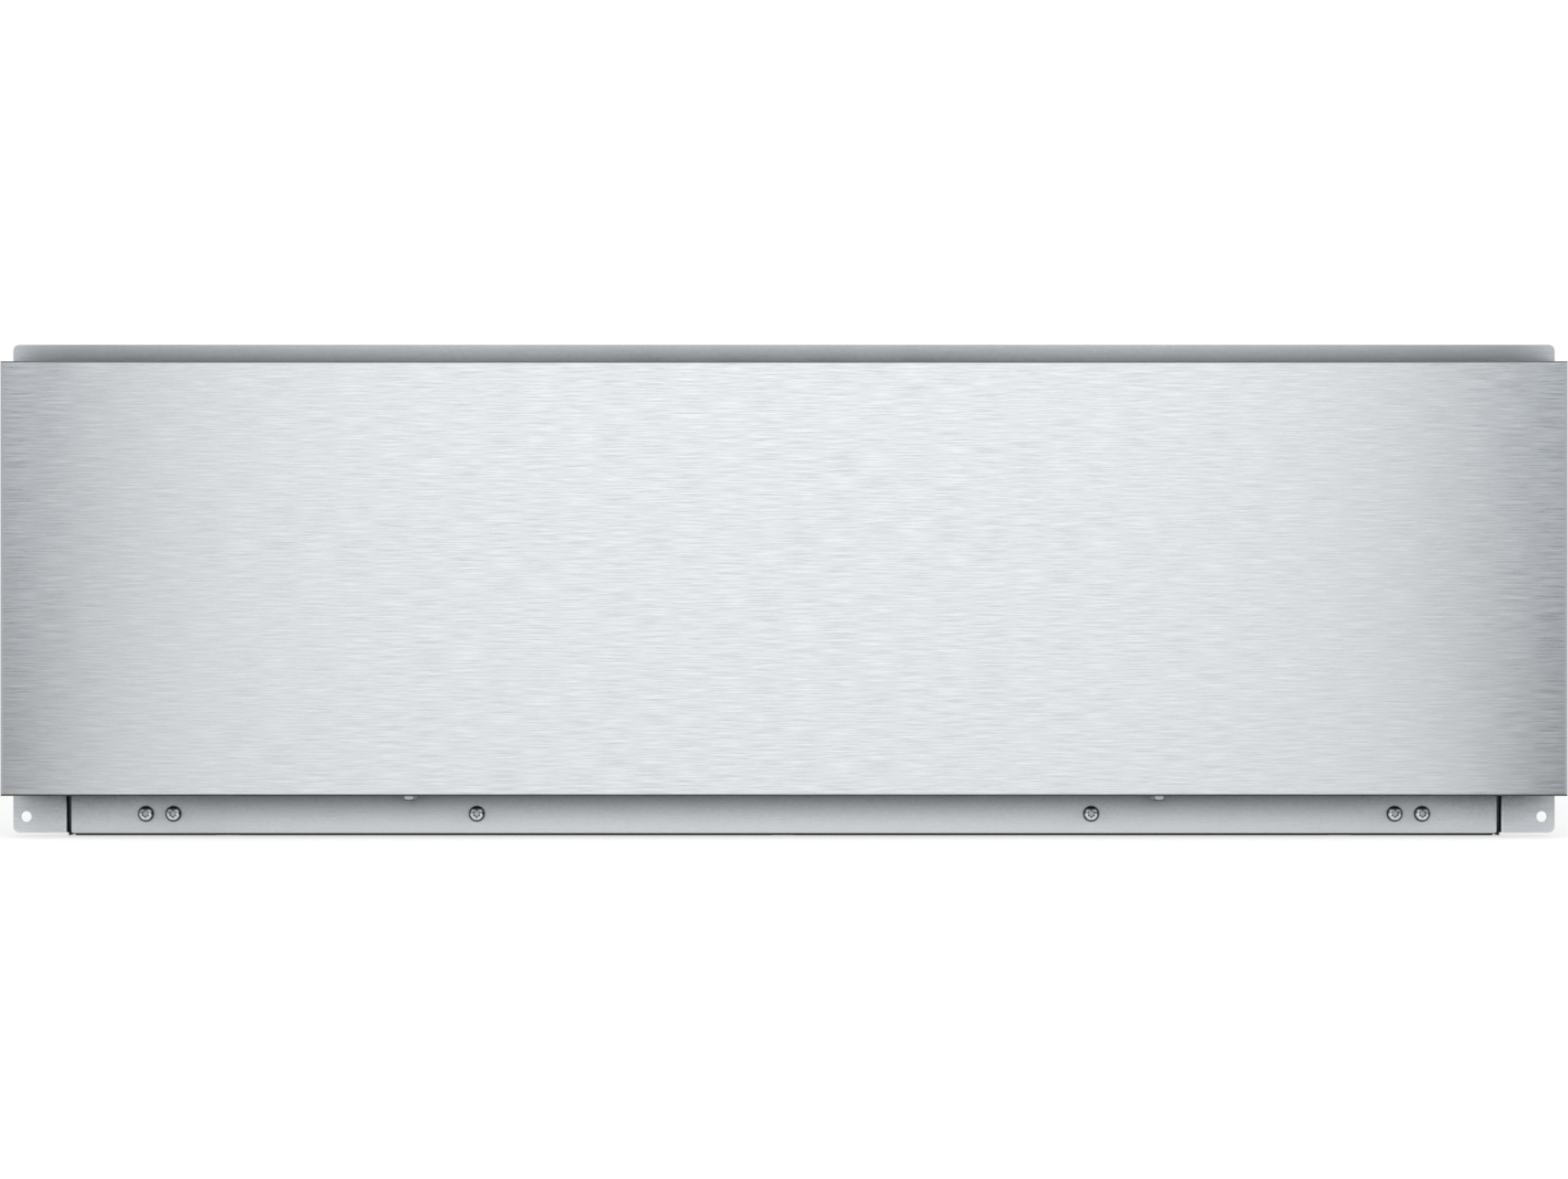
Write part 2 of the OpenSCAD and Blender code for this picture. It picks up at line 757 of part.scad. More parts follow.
module cover_screws() {
  color(steel) both_sides() for (y = cover_screw_places)
    translate([rear_screw_x, y, chassis_h]) pan_screw(short_screw_l);
}

module cavity_ceiling() {
  color(galvanised) box_between([-wall_x, cavity_y, ceiling_z], [wall_x, cavity_back, bar_z]);
}

// The right-hand cavity side: a channel that carries the slide and holds the insulation
module cavity_side() {
  flanges = [
    [cavity_y, cavity_y + inner_t, cavity_z, ceiling_z],
    [cavity_y, cavity_back, cavity_z, cavity_z + inner_t],
    [cavity_y, cavity_back, ceiling_z - inner_t, ceiling_z],
  ];
  difference() {
    union() {
      box_between([cavity_x, cavity_y, cavity_z], [cavity_x + inner_t, cavity_back, ceiling_z]);
      for (f = flanges) box_between([cavity_x, f[0], f[2]], [wall_x, f[1], f[3]]);
    }
    for (y = slide_screw_places) translate([cavity_x, y, slide_z]) facing_right() shank_hole();
  }
}

module right_cavity_side() { color(stainless) cavity_side(); }
module left_cavity_side() { color(stainless) mirror([1, 0, 0]) cavity_side(); }

module cavity_rear() {
  color(galvanised) difference() {
    box_between([-pan_x + cover_t, cavity_back, pan_top],
                [pan_x - cover_t, cavity_back + inner_t, cover_z - wall_t]);
    both_sides() {
      rod_to_rear([latch_x, cavity_back - cut, latch_z], barrel_d + 2 * barrel_clear, inner_t + 2 * cut);
      rod_to_rear([element_x, cavity_back - cut, element_z], bush_d + 2 * bush_clear, inner_t + 2 * cut);
    }
    rod_to_rear([sensor_x, cavity_back - cut, sensor_z], sensor_d + 2 * bush_clear, inner_t + 2 * cut);
  }
}

module top_insulation() {
  pad_x = wall_x - wall_flange - pad_clear;
  color(wool) box_between([-pad_x, frame_y + control_d, bar_z + pad_clear],
                          [pad_x, cavity_back - pad_clear, bar_z + pad_clear + top_pad_t]);
}

module side_insulation() {
  color(wool) both_sides()
    box_between([cavity_x + inner_t + pad_clear, frame_y + return_d, cavity_z + inner_t + pad_clear],
                [wall_x - pad_clear, cavity_back - pad_clear, ceiling_z - inner_t - pad_clear]);
}

module base_insulation() {
  pad_x = reflector_w / 2 - inner_t - pad_clear;
  color(wool) box_between([-pad_x, reflector_y + inner_t + pad_clear, pan_top + pad_clear],
                          [pad_x, reflector_back - inner_t - pad_clear, reflector_z - pad_clear]);
}

// A shallow lid over the base insulation, which throws the heat up
module heat_reflector() {
  low = [-reflector_w / 2, reflector_y, pan_top];
  high = [reflector_w / 2, reflector_back, reflector_z + inner_t];
  sheet = [inner_t, inner_t, inner_t];
  color(stainless) difference() {
    box_between(low, high);
    box_between(low + sheet - [0, 0, inner_t + cut], high - sheet);
  }
}

// One half-round bend of the element's tube, open to the rear
module element_bend() {
  rotate([0, 0, 180]) rotate_extrude(angle = 180) translate([element_pitch / 2, 0]) circle(d = element_d);
}

module heating_element() {
  last = element_runs - 1;
  color(dark_metal) translate([0, 0, element_z]) {
    for (i = [0 : last])
      rod_to_rear([element_places[i], bend_front, 0], element_d,
                  (i == 0 || i == last ? element_end : bend_rear) - bend_front);
    for (i = [0 : last - 1])
      translate([(element_places[i] + element_places[i + 1]) / 2, i % 2 == 0 ? bend_front : bend_rear, 0])
        rotate([0, 0, i % 2 == 0 ? 0 : 180]) element_bend();
  }
}

module element_brackets() {
  ring_d = element_d + 2 * bush_clear;
  color(zinc) for (x = clip_runs, y = clip_places) difference() {
    union() {
      rod_to_rear([x, y - clip_l / 2, element_z], ring_d + 2 * clip_t, clip_l);
      box_between([x - ring_d / 2, y - clip_l / 2, reflector_z + inner_t],
                  [x + ring_d / 2, y + clip_l / 2, element_z]);
    }
    rod_to_rear([x, y - clip_l, element_z], ring_d, 2 * clip_l);
  }
}

module element_bushes() {
  color(ceramic) both_sides() difference() {
    union() {
      rod_to_rear([element_x, cavity_back - bush_flange_t, element_z], bush_d + 2 * bush_rim, bush_flange_t);
      rod_to_rear([element_x, cavity_back - cut, element_z], bush_d, bush_l + cut);
    }
    rod_to_rear([element_x, cavity_back - bush_l, element_z], element_d + 2 * bush_clear, 3 * bush_l);
  }
}

module temperature_sensor() {
  color(steel) {
    rod_to_rear([sensor_x, cavity_back - sensor_l, sensor_z], sensor_d, 2 * sensor_l);
    rod_to_rear([sensor_x, cavity_back - bush_flange_t, sensor_z], sensor_d + 2 * sensor_rim, bush_flange_t);
  }
}

module thermal_cutout() {
  back = cavity_back + inner_t;
  color(black_plastic) rod_to_rear([cutout_x, back, cutout_z], cutout_d, cutout_t);
  color(steel) for (s = [-1, 1])
    translate([cutout_x + s * cutout_d / 4 - blade_t / 2, back + cutout_t - cut, cutout_z - blade_w / 2])
      cube([blade_t, cut + blade_l, blade_w]);
}

module power_board() {
  back = cavity_back + inner_t;
  low = [board_x, back + standoff_l, board_top - board_h];
  high = low + [board_w, board_t, board_h];
  // Place on the board and size of the transformer, the relays, the fuse and the connector
  parts = [
    [[8, 8], [36, 22, 34]],
    [[52, 10], [20, 16, 16]],
    [[52, 34], [20, 16, 16]],
    [[82, 12], [22, 12, 10]],
    [[10, 54], [60, 8, 16]],
  ];
  color(board_green) box_between(low, high);
  color(zinc) for (x = [standoff_in, board_w - standoff_in], z = [standoff_in, board_h - standoff_in])
    rod_to_rear([low[0] + x, back, low[2] + z], standoff_d, standoff_l);
  color(black_plastic) for (p = parts)
    translate([low[0] + p[0][0], high[1], low[2] + p[0][1]]) cube(p[1]);
  color(dark_metal) for (z = capacitor_places)
    rod_to_rear([high[0] - 1.5 * capacitor_d, high[1], low[2] + z], capacitor_d, capacitor_l);
}

module terminal_block() {
  back = cavity_back + inner_t;
  w = terminal_count * terminal_pitch + 2 * terminal_wall;
  color(ceramic) difference() {
    translate([access_x - w / 2, back, access_z - terminal_h / 2]) cube([w, terminal_d, terminal_h]);
    for (i = [0 : terminal_count - 1])
      rod_to_rear([access_x + (i - (terminal_count - 1) / 2) * terminal_pitch,
                   back + terminal_d - terminal_hole_l, access_z], terminal_hole_d, terminal_hole_l + cut);
  }
}

module terminal_cover() {
  inset = 2 * access_margin;
  color(galvanised) difference() {
    union() {
      upright(rear_y, rear_y + cover_t) translate([access_x, access_z])
        round_rect(access_w + inset, access_h + inset, access_corner);
      upright(rear_y, rear_y + cover_bulge) translate([access_x, access_z])
        round_rect(access_w - inset, access_h - inset, access_corner);
    }
    upright(rear_y - cut, rear_y + cover_bulge - cover_t) translate([access_x, access_z])
      round_rect(access_w - inset - 2 * cover_t, access_h - inset - 2 * cover_t, access_corner - cover_t);
    for (p = access_screw_places) translate([p[0], rear_y, p[1]]) facing_rear() shank_hole();
  }
}

module cord_gland() {
  color(black_plastic) difference() {
    union() {
      rod_to_rear([gland_x, gland_front, gland_z], gland_body_d, gland_in + gland_nut_t);
      for (y = [rear_y - wall_t - gland_nut_t, rear_y])
        translate([gland_x, y, gland_z]) rotate([-90, 0, 0])
          cylinder(h = gland_nut_t, d = gland_nut_d, $fn = 6);
      translate([gland_x, rear_y + gland_nut_t, gland_z]) rotate([-90, 0, 0])
        cylinder(h = gland_out - gland_nut_t, d1 = gland_nut_d * cos(30), d2 = gland_body_d - 3);
    }
    rod_to_rear([gland_x, gland_front - cut, gland_z], gland_bore_d, gland_in + gland_out + 2 * cut);
  }
}

module control_fascia() {
  back = frame_y + strip_t;
  color(black_plastic) difference() {
    union() {
      upright(frame_y, back) translate([0, strip_z]) round_rect(strip_w, strip_h, strip_corner);
      upright(frame_y + frame_t, back) translate([0, strip_z])
        round_rect(strip_w + 2 * strip_lip, strip_h + 2 * strip_lip, strip_corner);
      for (sx = [-1, 1], sz = [-1, 1])
        rod_to_rear([sx * (strip_w / 2 - post_d), back - cut, strip_z + sz * (strip_h / 2 - post_d)], post_d,
                    board_y - strip_t + cut);
    }
    for (x = button_places)
      rod_to_rear([x, frame_y - cut, strip_z], button_d + 2 * button_clear, strip_t + 2 * cut);
    for (x = lens_places)
      rod_to_rear([x, frame_y - cut, strip_z], lens_d + 2 * lens_clear, strip_t + 2 * cut);
  }
}

module control_board() {
  front = frame_y + board_y;
  size = [strip_w, board_t, strip_h];
  color(board_green) translate([-size[0] / 2, front, strip_z - size[2] / 2]) cube(size);
  color(black_plastic) for (x = button_places) {
    translate([x - switch_w / 2, front - switch_t, strip_z - switch_w / 2])
      cube([switch_w, switch_t, switch_w]);
    rod_to_rear([x, front - switch_t - switch_tip, strip_z], stem_d, switch_t);
  }
}

// Light pipes that carry the board's lamps to the face of the strip
module indicator_lenses() {
  color("orange") for (x = lens_places) {
    rod_to_rear([x, frame_y - lens_stand, strip_z], lens_d, board_y + lens_stand);
    rod_to_rear([x, frame_y + strip_t, strip_z], lens_d + 2 * lens_rim, lens_rim);
  }
}

// A push button with its rim behind the strip and a stem towards its switch
module push_button(i) {
  rim_y = frame_y + strip_t + button_clear;
  stem_end = frame_y + board_y - switch_t - switch_tip - button_travel - button_clear;
  x = button_places[i];
  color(grey_plastic) {
    rod_to_rear([x, frame_y - button_out, strip_z], button_d, rim_y - frame_y + button_out);
    rod_to_rear([x, rim_y, strip_z], button_d + 2 * button_rim, button_rim_t);
    rod_to_rear([x, rim_y, strip_z], stem_d, stem_end - rim_y);
  }
}

module power_button() { push_button(0); }
module cooler_button() { push_button(1); }
module warmer_button() { push_button(2); }
module timer_button() { push_button(3); }

// The sections of the slide parts are drawn from the cavity side towards the box, with Y as
// the height above the slide's middle
module race(depth, height, u, end) {
  translate([u, -height / 2]) square([end - u, depth]);
  translate([u, height / 2 - depth]) square([end - u, depth]);
}

module grooves(height) {
  for (s = [-1, 1]) translate([ball_u, s * height]) circle(d = ball_d + 2 * groove_clear);
}

module outer_section() {
  difference() {
    union() {
      translate([0, -slide_h / 2]) square([rail_t, slide_h]);
      race(rail_t, slide_h, 0, race_end);
    }
    grooves(outer_row);
  }
}

module middle_section() {
  difference() {
    union() {
      translate([middle_u, -middle_h / 2]) square([rail_t, middle_h]);
      race(rail_t, middle_h, middle_u, race_end);
    }
    grooves(outer_row);
    grooves(inner_row);
  }
}

module inner_section() {
  difference() {
    union() {
      translate([slide_t - rail_t, -inner_h / 2]) square([rail_t, inner_h]);
      race(rail_t, inner_h, inner_u, slide_t);
    }
    grooves(inner_row);
  }
}

module cage_section(u, row) {
  translate([u, -row - cage_t / 2]) square([cage_t, 2 * row + cage_t]);
  race(cage_t, 2 * row + cage_t, u, race_end - nest_clear);
}

// Puts a slide section on the right-hand side and runs it from one depth to another
module slide_run(y0, y1) {
  upright(y0, y1) translate([cavity_x, slide_z]) mirror([1, 0]) children();
}

module outer_member() {
  difference() {
    slide_run(slide_y, slide_y + slide_l) outer_section();
    for (y = slide_screw_places) translate([cavity_x - rail_t, y, slide_z]) facing_right() {
      shank_hole();
      translate([0, 0, -cut]) cylinder(h = cut + flush_head_t, d = pan_head_d + 2 * shank_clear);
    }
  }
}

module inner_member() {
  difference() {
    slide_run(slide_y, slide_y + slide_l) inner_section();
    for (y = slide_screw_places) translate([box_x, y, slide_z]) facing_right() shank_hole();
  }
}

module right_outer_member() { color(zinc) outer_member(); }
module left_outer_member() { color(zinc) mirror([1, 0, 0]) outer_member(); }
module right_middle_member() { color(zinc) slide_run(slide_y, slide_y + slide_l) middle_section(); }
module left_middle_member() { color(zinc) mirror([1, 0, 0]) right_middle_member(); }
module right_inner_member() { color(zinc) inner_member(); }
module left_inner_member() { color(zinc) mirror([1, 0, 0]) inner_member(); }

// Flat-head screws, flush in the outer members
module slide_screws() {
  color(steel) both_sides() for (y = slide_screw_places)
    translate([cavity_x - rail_t, y, slide_z]) facing_right() {
      cylinder(h = flush_head_t, d = pan_head_d);
      cylinder(h = rail_t + inner_t, d = pan_shank_d);
    }
}

// Screws that hold the inner members to the drawer box
module box_screws() {
  color(steel) both_sides() for (y = slide_screw_places)
    translate([box_x + rail_t, y, slide_z]) facing_right() pan_screw(rail_t + box_t);
}

module ball_rows(row) {
  for (i = [0 : ball_count - 1], s = [-1, 1])
    translate([cavity_x - ball_u, ball_y + i * ball_pitch, slide_z + s * row]) children();
}

module ball_cages(u, row) {
  color(zinc) both_sides() difference() {
    slide_run(cage_y, cage_y + cage_length) cage_section(u, row);
    ball_rows(row) cylinder(h = 4 * cage_t, d = ball_d + 2 * groove_clear, center = true);
  }
}

module outer_ball_cages() { ball_cages(rail_t + nest_clear, outer_row); }
module inner_ball_cages() { ball_cages(middle_u + rail_t + nest_clear, inner_row); }
module outer_balls() { color(steel) both_sides() ball_rows(outer_row) sphere(d = ball_d); }
module inner_balls() { color(steel) both_sides() ball_rows(inner_row) sphere(d = ball_d); }

module latch_housings() {
  color(black_plastic) both_sides() difference() {
    union() {
      upright(cavity_back - latch_flange_t, cavity_back) translate([latch_x, latch_z])
        round_rect(latch_flange, latch_flange, latch_corner);
      rod_to_rear([latch_x, cavity_back - latch_flange_t, latch_z], barrel_d, latch_flange_t + barrel_l);
    }
    rod_to_rear([latch_x, cavity_back - latch_flange_t - cut, latch_z], plunger_d + 2 * plunger_clear,
                latch_flange_t + cut + barrel_l - barrel_wall);
  }
}

module latch_plunger() {
  color(grey_plastic) rod_to_rear([latch_x, plunger_y, latch_z], plunger_d, plunger_l);
}

module right_latch_plunger() { latch_plunger(); }
module left_latch_plunger() { mirror([1, 0, 0]) latch_plunger(); }

// The outer shape of the springs behind the plungers, as sleeves
module latch_springs() {
  color(steel) both_sides() difference() {
    rod_to_rear([latch_x, spring_y, latch_z], spring_d, spring_l);
    rod_to_rear([latch_x, spring_y - cut, latch_z], spring_d - 2 * spring_wire, spring_l + 2 * cut);
  }
}

module latch_strikers() {
  color(zinc) both_sides() upright(box_back, box_back + striker_t)
    translate([latch_x, latch_z]) round_rect(striker_size, striker_size, latch_corner);
}

// The front panel's block, drawn in from its outer faces by an inset
module panel_block(inset, r) {
  w = panel_w - 2 * inset;
  h = panel_h - 2 * inset;
  d = panel_d - 2 * inset;
  intersection() {
    lengthwise(-w / 2 - cut, w / 2 + cut)
      translate([front_y + inset, panel_z + inset]) front_rounded(d, h, r);
    translate([w / 2, front_y + inset, panel_z - cut]) linear_extrude(height = panel_h + 2 * cut)
      rotate(90) front_rounded(d, w, r);
  }
}

// A sheet folded back along all four edges, with lips behind the sides and the top
module front_panel() {
  color(stainless) difference() {
    panel_block(0, panel_bend);
    panel_block(panel_t, panel_bend - panel_t);
    box_between([-panel_w / 2 + panel_lip, liner_y - panel_t - cut, panel_z + panel_t],
                [panel_w / 2 - panel_lip, liner_y + cut, panel_top - panel_lip]);
    both_sides() {
      translate([panel_screw_x, panel_screw_y, panel_z]) shank_hole();
      for (z = lip_screw_places) translate([lip_screw_x, liner_y, z]) facing_rear() shank_hole();
      for (x = top_screw_places) translate([x, liner_y, top_screw_z]) facing_rear() shank_hole();
    }
  }
}

module front_liner() {
  liner_x = panel_w / 2 - liner_inset;
  flange_x = panel_w / 2 - panel_lip - liner_inset;
  flange_z = panel_z + panel_t;
  color(stainless) difference() {
    union() {
      box_between([-liner_x, liner_y, flange_z], [liner_x, box_y, panel_top - liner_inset]);
      box_between([-flange_x, panel_screw_y - liner_foot / 2, flange_z],
                  [flange_x, box_y, flange_z + liner_t]);
      both_sides() translate([panel_screw_x, panel_screw_y, flange_z]) cylinder(h = boss_h, d = boss_d);
    }
    both_sides() {
      translate([panel_screw_x, panel_screw_y, flange_z]) shank_hole(2 * boss_h);
      for (z = lip_screw_places) translate([lip_screw_x, liner_y, z]) facing_rear() shank_hole();
      for (x = top_screw_places) translate([x, liner_y, top_screw_z]) facing_rear() shank_hole();
      for (z = bracket_screw_places) translate([bracket_screw_x, liner_y, z]) facing_rear() shank_hole();
    }
  }
}

module front_insulation() {
  pad_x = panel_w / 2 - panel_lip - pad_clear;
  color(wool) difference() {
    box_between([-pad_x, front_y + panel_t + pad_clear, panel_z + panel_t + liner_t + pad_clear],
                [pad_x, liner_y - pad_clear, panel_top - panel_lip - pad_clear]);
    both_sides() translate([panel_screw_x, panel_screw_y, panel_z])
      cylinder(h = hex_shank_l + 2 * cut, d = boss_d + 2 * cut);
  }
}

// A flat seal on the inner plate, which meets the frame round the opening
module door_gasket() {
  top = bar_z + frame_bend + gasket_w;
  low = rail_h - frame_bend - gasket_w;
  half = body_x + frame_bend + gasket_w;
  color(silicone) upright(box_y, box_y + gasket_t) translate([0, (top + low) / 2]) difference() {
    round_rect(2 * half, top - low, 3 * gasket_w);
    round_rect(2 * (half - gasket_w), top - low - 2 * gasket_w, 2 * gasket_w);
  }
}

// Hexagon-head screws that hold the panel's lower fold to the inner plate
module panel_screws() {
  corner_d = hex_af / cos(30);
  color(steel) both_sides() translate([panel_screw_x, panel_screw_y, panel_z]) mirror([0, 0, 1]) {
    intersection() {
      cylinder(h = hex_head_h, d = corner_d, $fn = 6);
      cylinder(h = hex_head_h, d1 = corner_d + 2 * hex_head_h, d2 = hex_af * 0.8);
    }
    translate([0, 0, -hex_shank_l]) cylinder(h = hex_shank_l + hex_head_h / 2, d = pan_shank_d);
  }
}

module liner_screws() {
  color(steel) both_sides() {
    for (z = lip_screw_places)
      translate([lip_screw_x, box_y, z]) facing_rear() pan_screw(liner_t + panel_t);
    for (x = top_screw_places)
      translate([x, box_y, top_screw_z]) facing_rear() pan_screw(liner_t + panel_t);
    for (z = bracket_screw_places) translate([bracket_screw_x, box_y + bracket_t, z])
      facing_rear() pan_screw(bracket_t + liner_t);
  }
}

// Angles that join the drawer box's sides to the inner front plate
module front_brackets() {
  color(galvanised) both_sides() for (p = bracket_spans) difference() {
    union() {
      box_between([box_x, box_y, p[0]], [box_x + bracket_leg, box_y + bracket_t, p[1]]);
      box_between([box_x, box_y, p[0]], [box_x + bracket_t, box_y + bracket_side, p[1]]);
    }
    for (z = bracket_screw_places) translate([bracket_screw_x, box_y, z]) facing_rear() shank_hole();
  }
}

// A stiffening bead along Y, with ball ends
module bead(l) {
  translate([0, -l / 2, 0]) {
    rod_to_rear([0, 0, 0], 2 * bead_r, l);
    for (y = [0, l]) translate([0, y, 0]) sphere(r = bead_r);
  }
}

module drawer_box() {
  middle = (box_y + box_back) / 2;
  floor_top = box_z + box_t;
  bead_pitch = box_w / (bead_count + 1);
  bead_l = box_d - 2 * bead_end;
  color(stainless) difference() {
    union() {
      difference() {
        union() {
          translate([0, middle, box_z]) linear_extrude(height = box_h) round_rect(box_w, box_d, box_corner);
          translate([0, middle, box_top - box_t]) intersection() {
            linear_extrude(height = box_t)
              round_rect(box_w + 2 * rim_w, box_d + 2 * rim_w, box_corner + rim_w);
            box_between([-box_w, 2 * box_corner - box_d / 2, -cut],
                        [box_w, box_d / 2 - 2 * box_corner, cut + box_t]);
          }
        }
        translate([0, middle, floor_top]) linear_extrude(height = box_h)
          round_rect(box_w - 2 * box_t, box_d - 2 * box_t, box_corner - box_t);
      }
      for (i = [1 : bead_count]) intersection() {
        translate([i * bead_pitch - box_x, middle, floor_top + bead_h - bead_r]) bead(bead_l);
        box_between([-box_x, box_y, floor_top - box_t / 2], [box_x, box_back, floor_top + bead_h + cut]);
      }
    }
    for (i = [1 : bead_count]) intersection() {
      translate([i * bead_pitch - box_x, middle, box_z + bead_h - bead_r]) bead(bead_l);
      box_between([-box_x, box_y, box_z - cut], [box_x, box_back, box_z + bead_h + cut]);
    }
    for (i = [0 : air_count - 1]) {
      offset_y = (i - (air_count - 1) / 2) * air_pitch;
      lengthwise(-box_x - cut, box_x + cut) translate([middle + offset_y, air_z]) slot(air_l, air_w);
      upright(box_back - box_t - cut, box_back + cut) translate([offset_y, air_z]) slot(air_l, air_w);
    }
    both_sides() for (y = slide_screw_places) translate([box_x, y, slide_z]) facing_right() shank_hole();
  }
}

front_frame();
bottom_front_rail();
rail_screws();
frame_screws();
base_pan();
left_side_wall();
right_side_wall();
rear_wall();
rear_screws();
top_cover();
cover_screws();
cavity_ceiling();
left_cavity_side();
right_cavity_side();
cavity_rear();
top_insulation();
side_insulation();
base_insulation();
heat_reflector();
heating_element();
element_brackets();
element_bushes();
temperature_sensor();
thermal_cutout();
power_board();
terminal_block();
terminal_cover();
cord_gland();
control_fascia();
control_board();
indicator_lenses();
power_button();
cooler_button();
warmer_button();
timer_button();
left_outer_member();
right_outer_member();
slide_screws();
left_middle_member();
right_middle_member();
outer_ball_cages();
outer_balls();
inner_ball_cages();
inner_balls();
left_inner_member();
right_inner_member();
box_screws();
latch_housings();
left_latch_plunger();
right_latch_plunger();
latch_springs();
latch_strikers();
front_panel();
front_liner();
front_insulation();
door_gasket();
panel_screws();
liner_screws();
front_brackets();
drawer_box();
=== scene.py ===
"""Finishes, soft pieces and studio for a built-in warming drawer, laid out as an add-on."""

import math

import bpy
from bpy.props import FloatProperty, FloatVectorProperty, IntProperty, PointerProperty
from bpy.types import Operator, Panel, PropertyGroup
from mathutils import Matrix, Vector, noise


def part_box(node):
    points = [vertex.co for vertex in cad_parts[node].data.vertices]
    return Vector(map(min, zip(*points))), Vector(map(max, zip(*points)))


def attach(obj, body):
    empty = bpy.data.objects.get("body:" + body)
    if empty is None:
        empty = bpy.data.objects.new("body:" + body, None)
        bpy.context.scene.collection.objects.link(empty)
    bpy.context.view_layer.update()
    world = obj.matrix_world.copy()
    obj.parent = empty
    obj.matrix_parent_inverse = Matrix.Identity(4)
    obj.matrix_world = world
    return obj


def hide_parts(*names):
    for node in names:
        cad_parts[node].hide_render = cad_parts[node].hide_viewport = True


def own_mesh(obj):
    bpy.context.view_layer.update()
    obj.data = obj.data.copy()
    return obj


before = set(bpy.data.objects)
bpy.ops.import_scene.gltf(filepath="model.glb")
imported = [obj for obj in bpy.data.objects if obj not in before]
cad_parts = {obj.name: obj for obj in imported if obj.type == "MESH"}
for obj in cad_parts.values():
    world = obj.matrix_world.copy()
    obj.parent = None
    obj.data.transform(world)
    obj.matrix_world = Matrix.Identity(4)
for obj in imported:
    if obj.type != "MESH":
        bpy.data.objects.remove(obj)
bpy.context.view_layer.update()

bl_info = {
    "name": "Warming Drawer",
    "version": (1, 0, 0),
    "blender": (4, 5, 0),
    "location": "View3D > Sidebar > Drawer",
    "description": "Finishes the warming drawer, makes its soft pieces and sets its studio",
    "category": "Object",
}

SENSOR_MM = 36.0
FAR_CLIP = 50.0
WIRE_SIDES = 8
STEPS_PER_TURN = 20
CORNER_STEPS = 10

GALVANISED = (
    "base_pan", "left_side_wall", "right_side_wall", "rear_wall", "top_cover", "cavity_ceiling",
    "cavity_rear", "terminal_cover", "front_brackets",
)
SATIN = ("front_liner", "drawer_box", "left_cavity_side", "right_cavity_side", "heat_reflector")
SLIDES = (
    "left_outer_member", "right_outer_member", "left_middle_member", "right_middle_member",
    "left_inner_member", "right_inner_member", "outer_ball_cages", "inner_ball_cages",
    "latch_strikers", "element_brackets",
)
SCREWS = (
    "frame_screws", "rear_screws", "cover_screws", "slide_screws", "box_screws", "liner_screws",
)
BRIGHT = ("outer_balls", "inner_balls", "temperature_sensor")
PAINTED_SHADE = (0.012, 0.014, 0.017)  # colour of painted shade, deep in gaps and wherever else shade is painted
PALE = (0.72, 0.74, 0.75)  # colour of the print on the buttons
WHITE = (1.0, 1.0, 1.0)
BUTTONS = {
    "power_button": "power", "cooler_button": "minus", "warmer_button": "plus",
    "timer_button": "clock",
}

# Sizes of the printed symbols, as shares: their radius in the button's width, and half the width
# of their lines in that radius.
SYMBOL_SHARE = 0.24
LINE_SHARE = 0.14

# Brushing: how sharply its streaks stand out, the share of its broad bands, their number per metre
# along and across it, and how much its gloss varies.
STREAK_GAIN = 2.8
BAND_SHARE = 0.08
BANDS_ALONG = 1.5
BANDS_ACROSS = 38.0
GLOSS_SPREAD = 0.18

# Insulation: the most of a batt's thickness that its round edges and its ripples take up, the
# number per metre of its swells and tufts, the depth of a tuft against a swell, and the deepest dip.
ROUND_LIMIT = 0.45
RIPPLE_LIMIT = 0.12
SWELLS = 42.0
TUFTS = 150.0
TUFT_DEPTH = 0.35
DEEPEST_DIP = 1.2

# The seal's outline: a foot with two lips, as places across its width and up its height.
SEAL_OUTLINE = (
    (-0.5, 0.0), (-0.5, 0.3), (-0.42, 0.36), (-0.34, 0.7), (-0.24, 1.0), (-0.16, 0.9),
    (-0.12, 0.5), (0.0, 0.34), (0.12, 0.5), (0.16, 0.9), (0.24, 1.0), (0.34, 0.7),
    (0.42, 0.36), (0.5, 0.3), (0.5, 0.0),
)


def tint(name, description, colour):
    """A colour that a user can change."""
    return FloatVectorProperty(
        name=name, description=description, default=colour, subtype="COLOR", size=3, min=0.0, max=1.0
    )


def length(name, description, metres):
    """A length that a user can change."""
    return FloatProperty(
        name=name, description=description, default=metres, unit="LENGTH", min=0.0, precision=5
    )


def share(name, description, amount):
    """A number from 0 to 1 that a user can change."""
    return FloatProperty(
        name=name, description=description, default=amount, subtype="FACTOR", min=0.0, max=1.0
    )


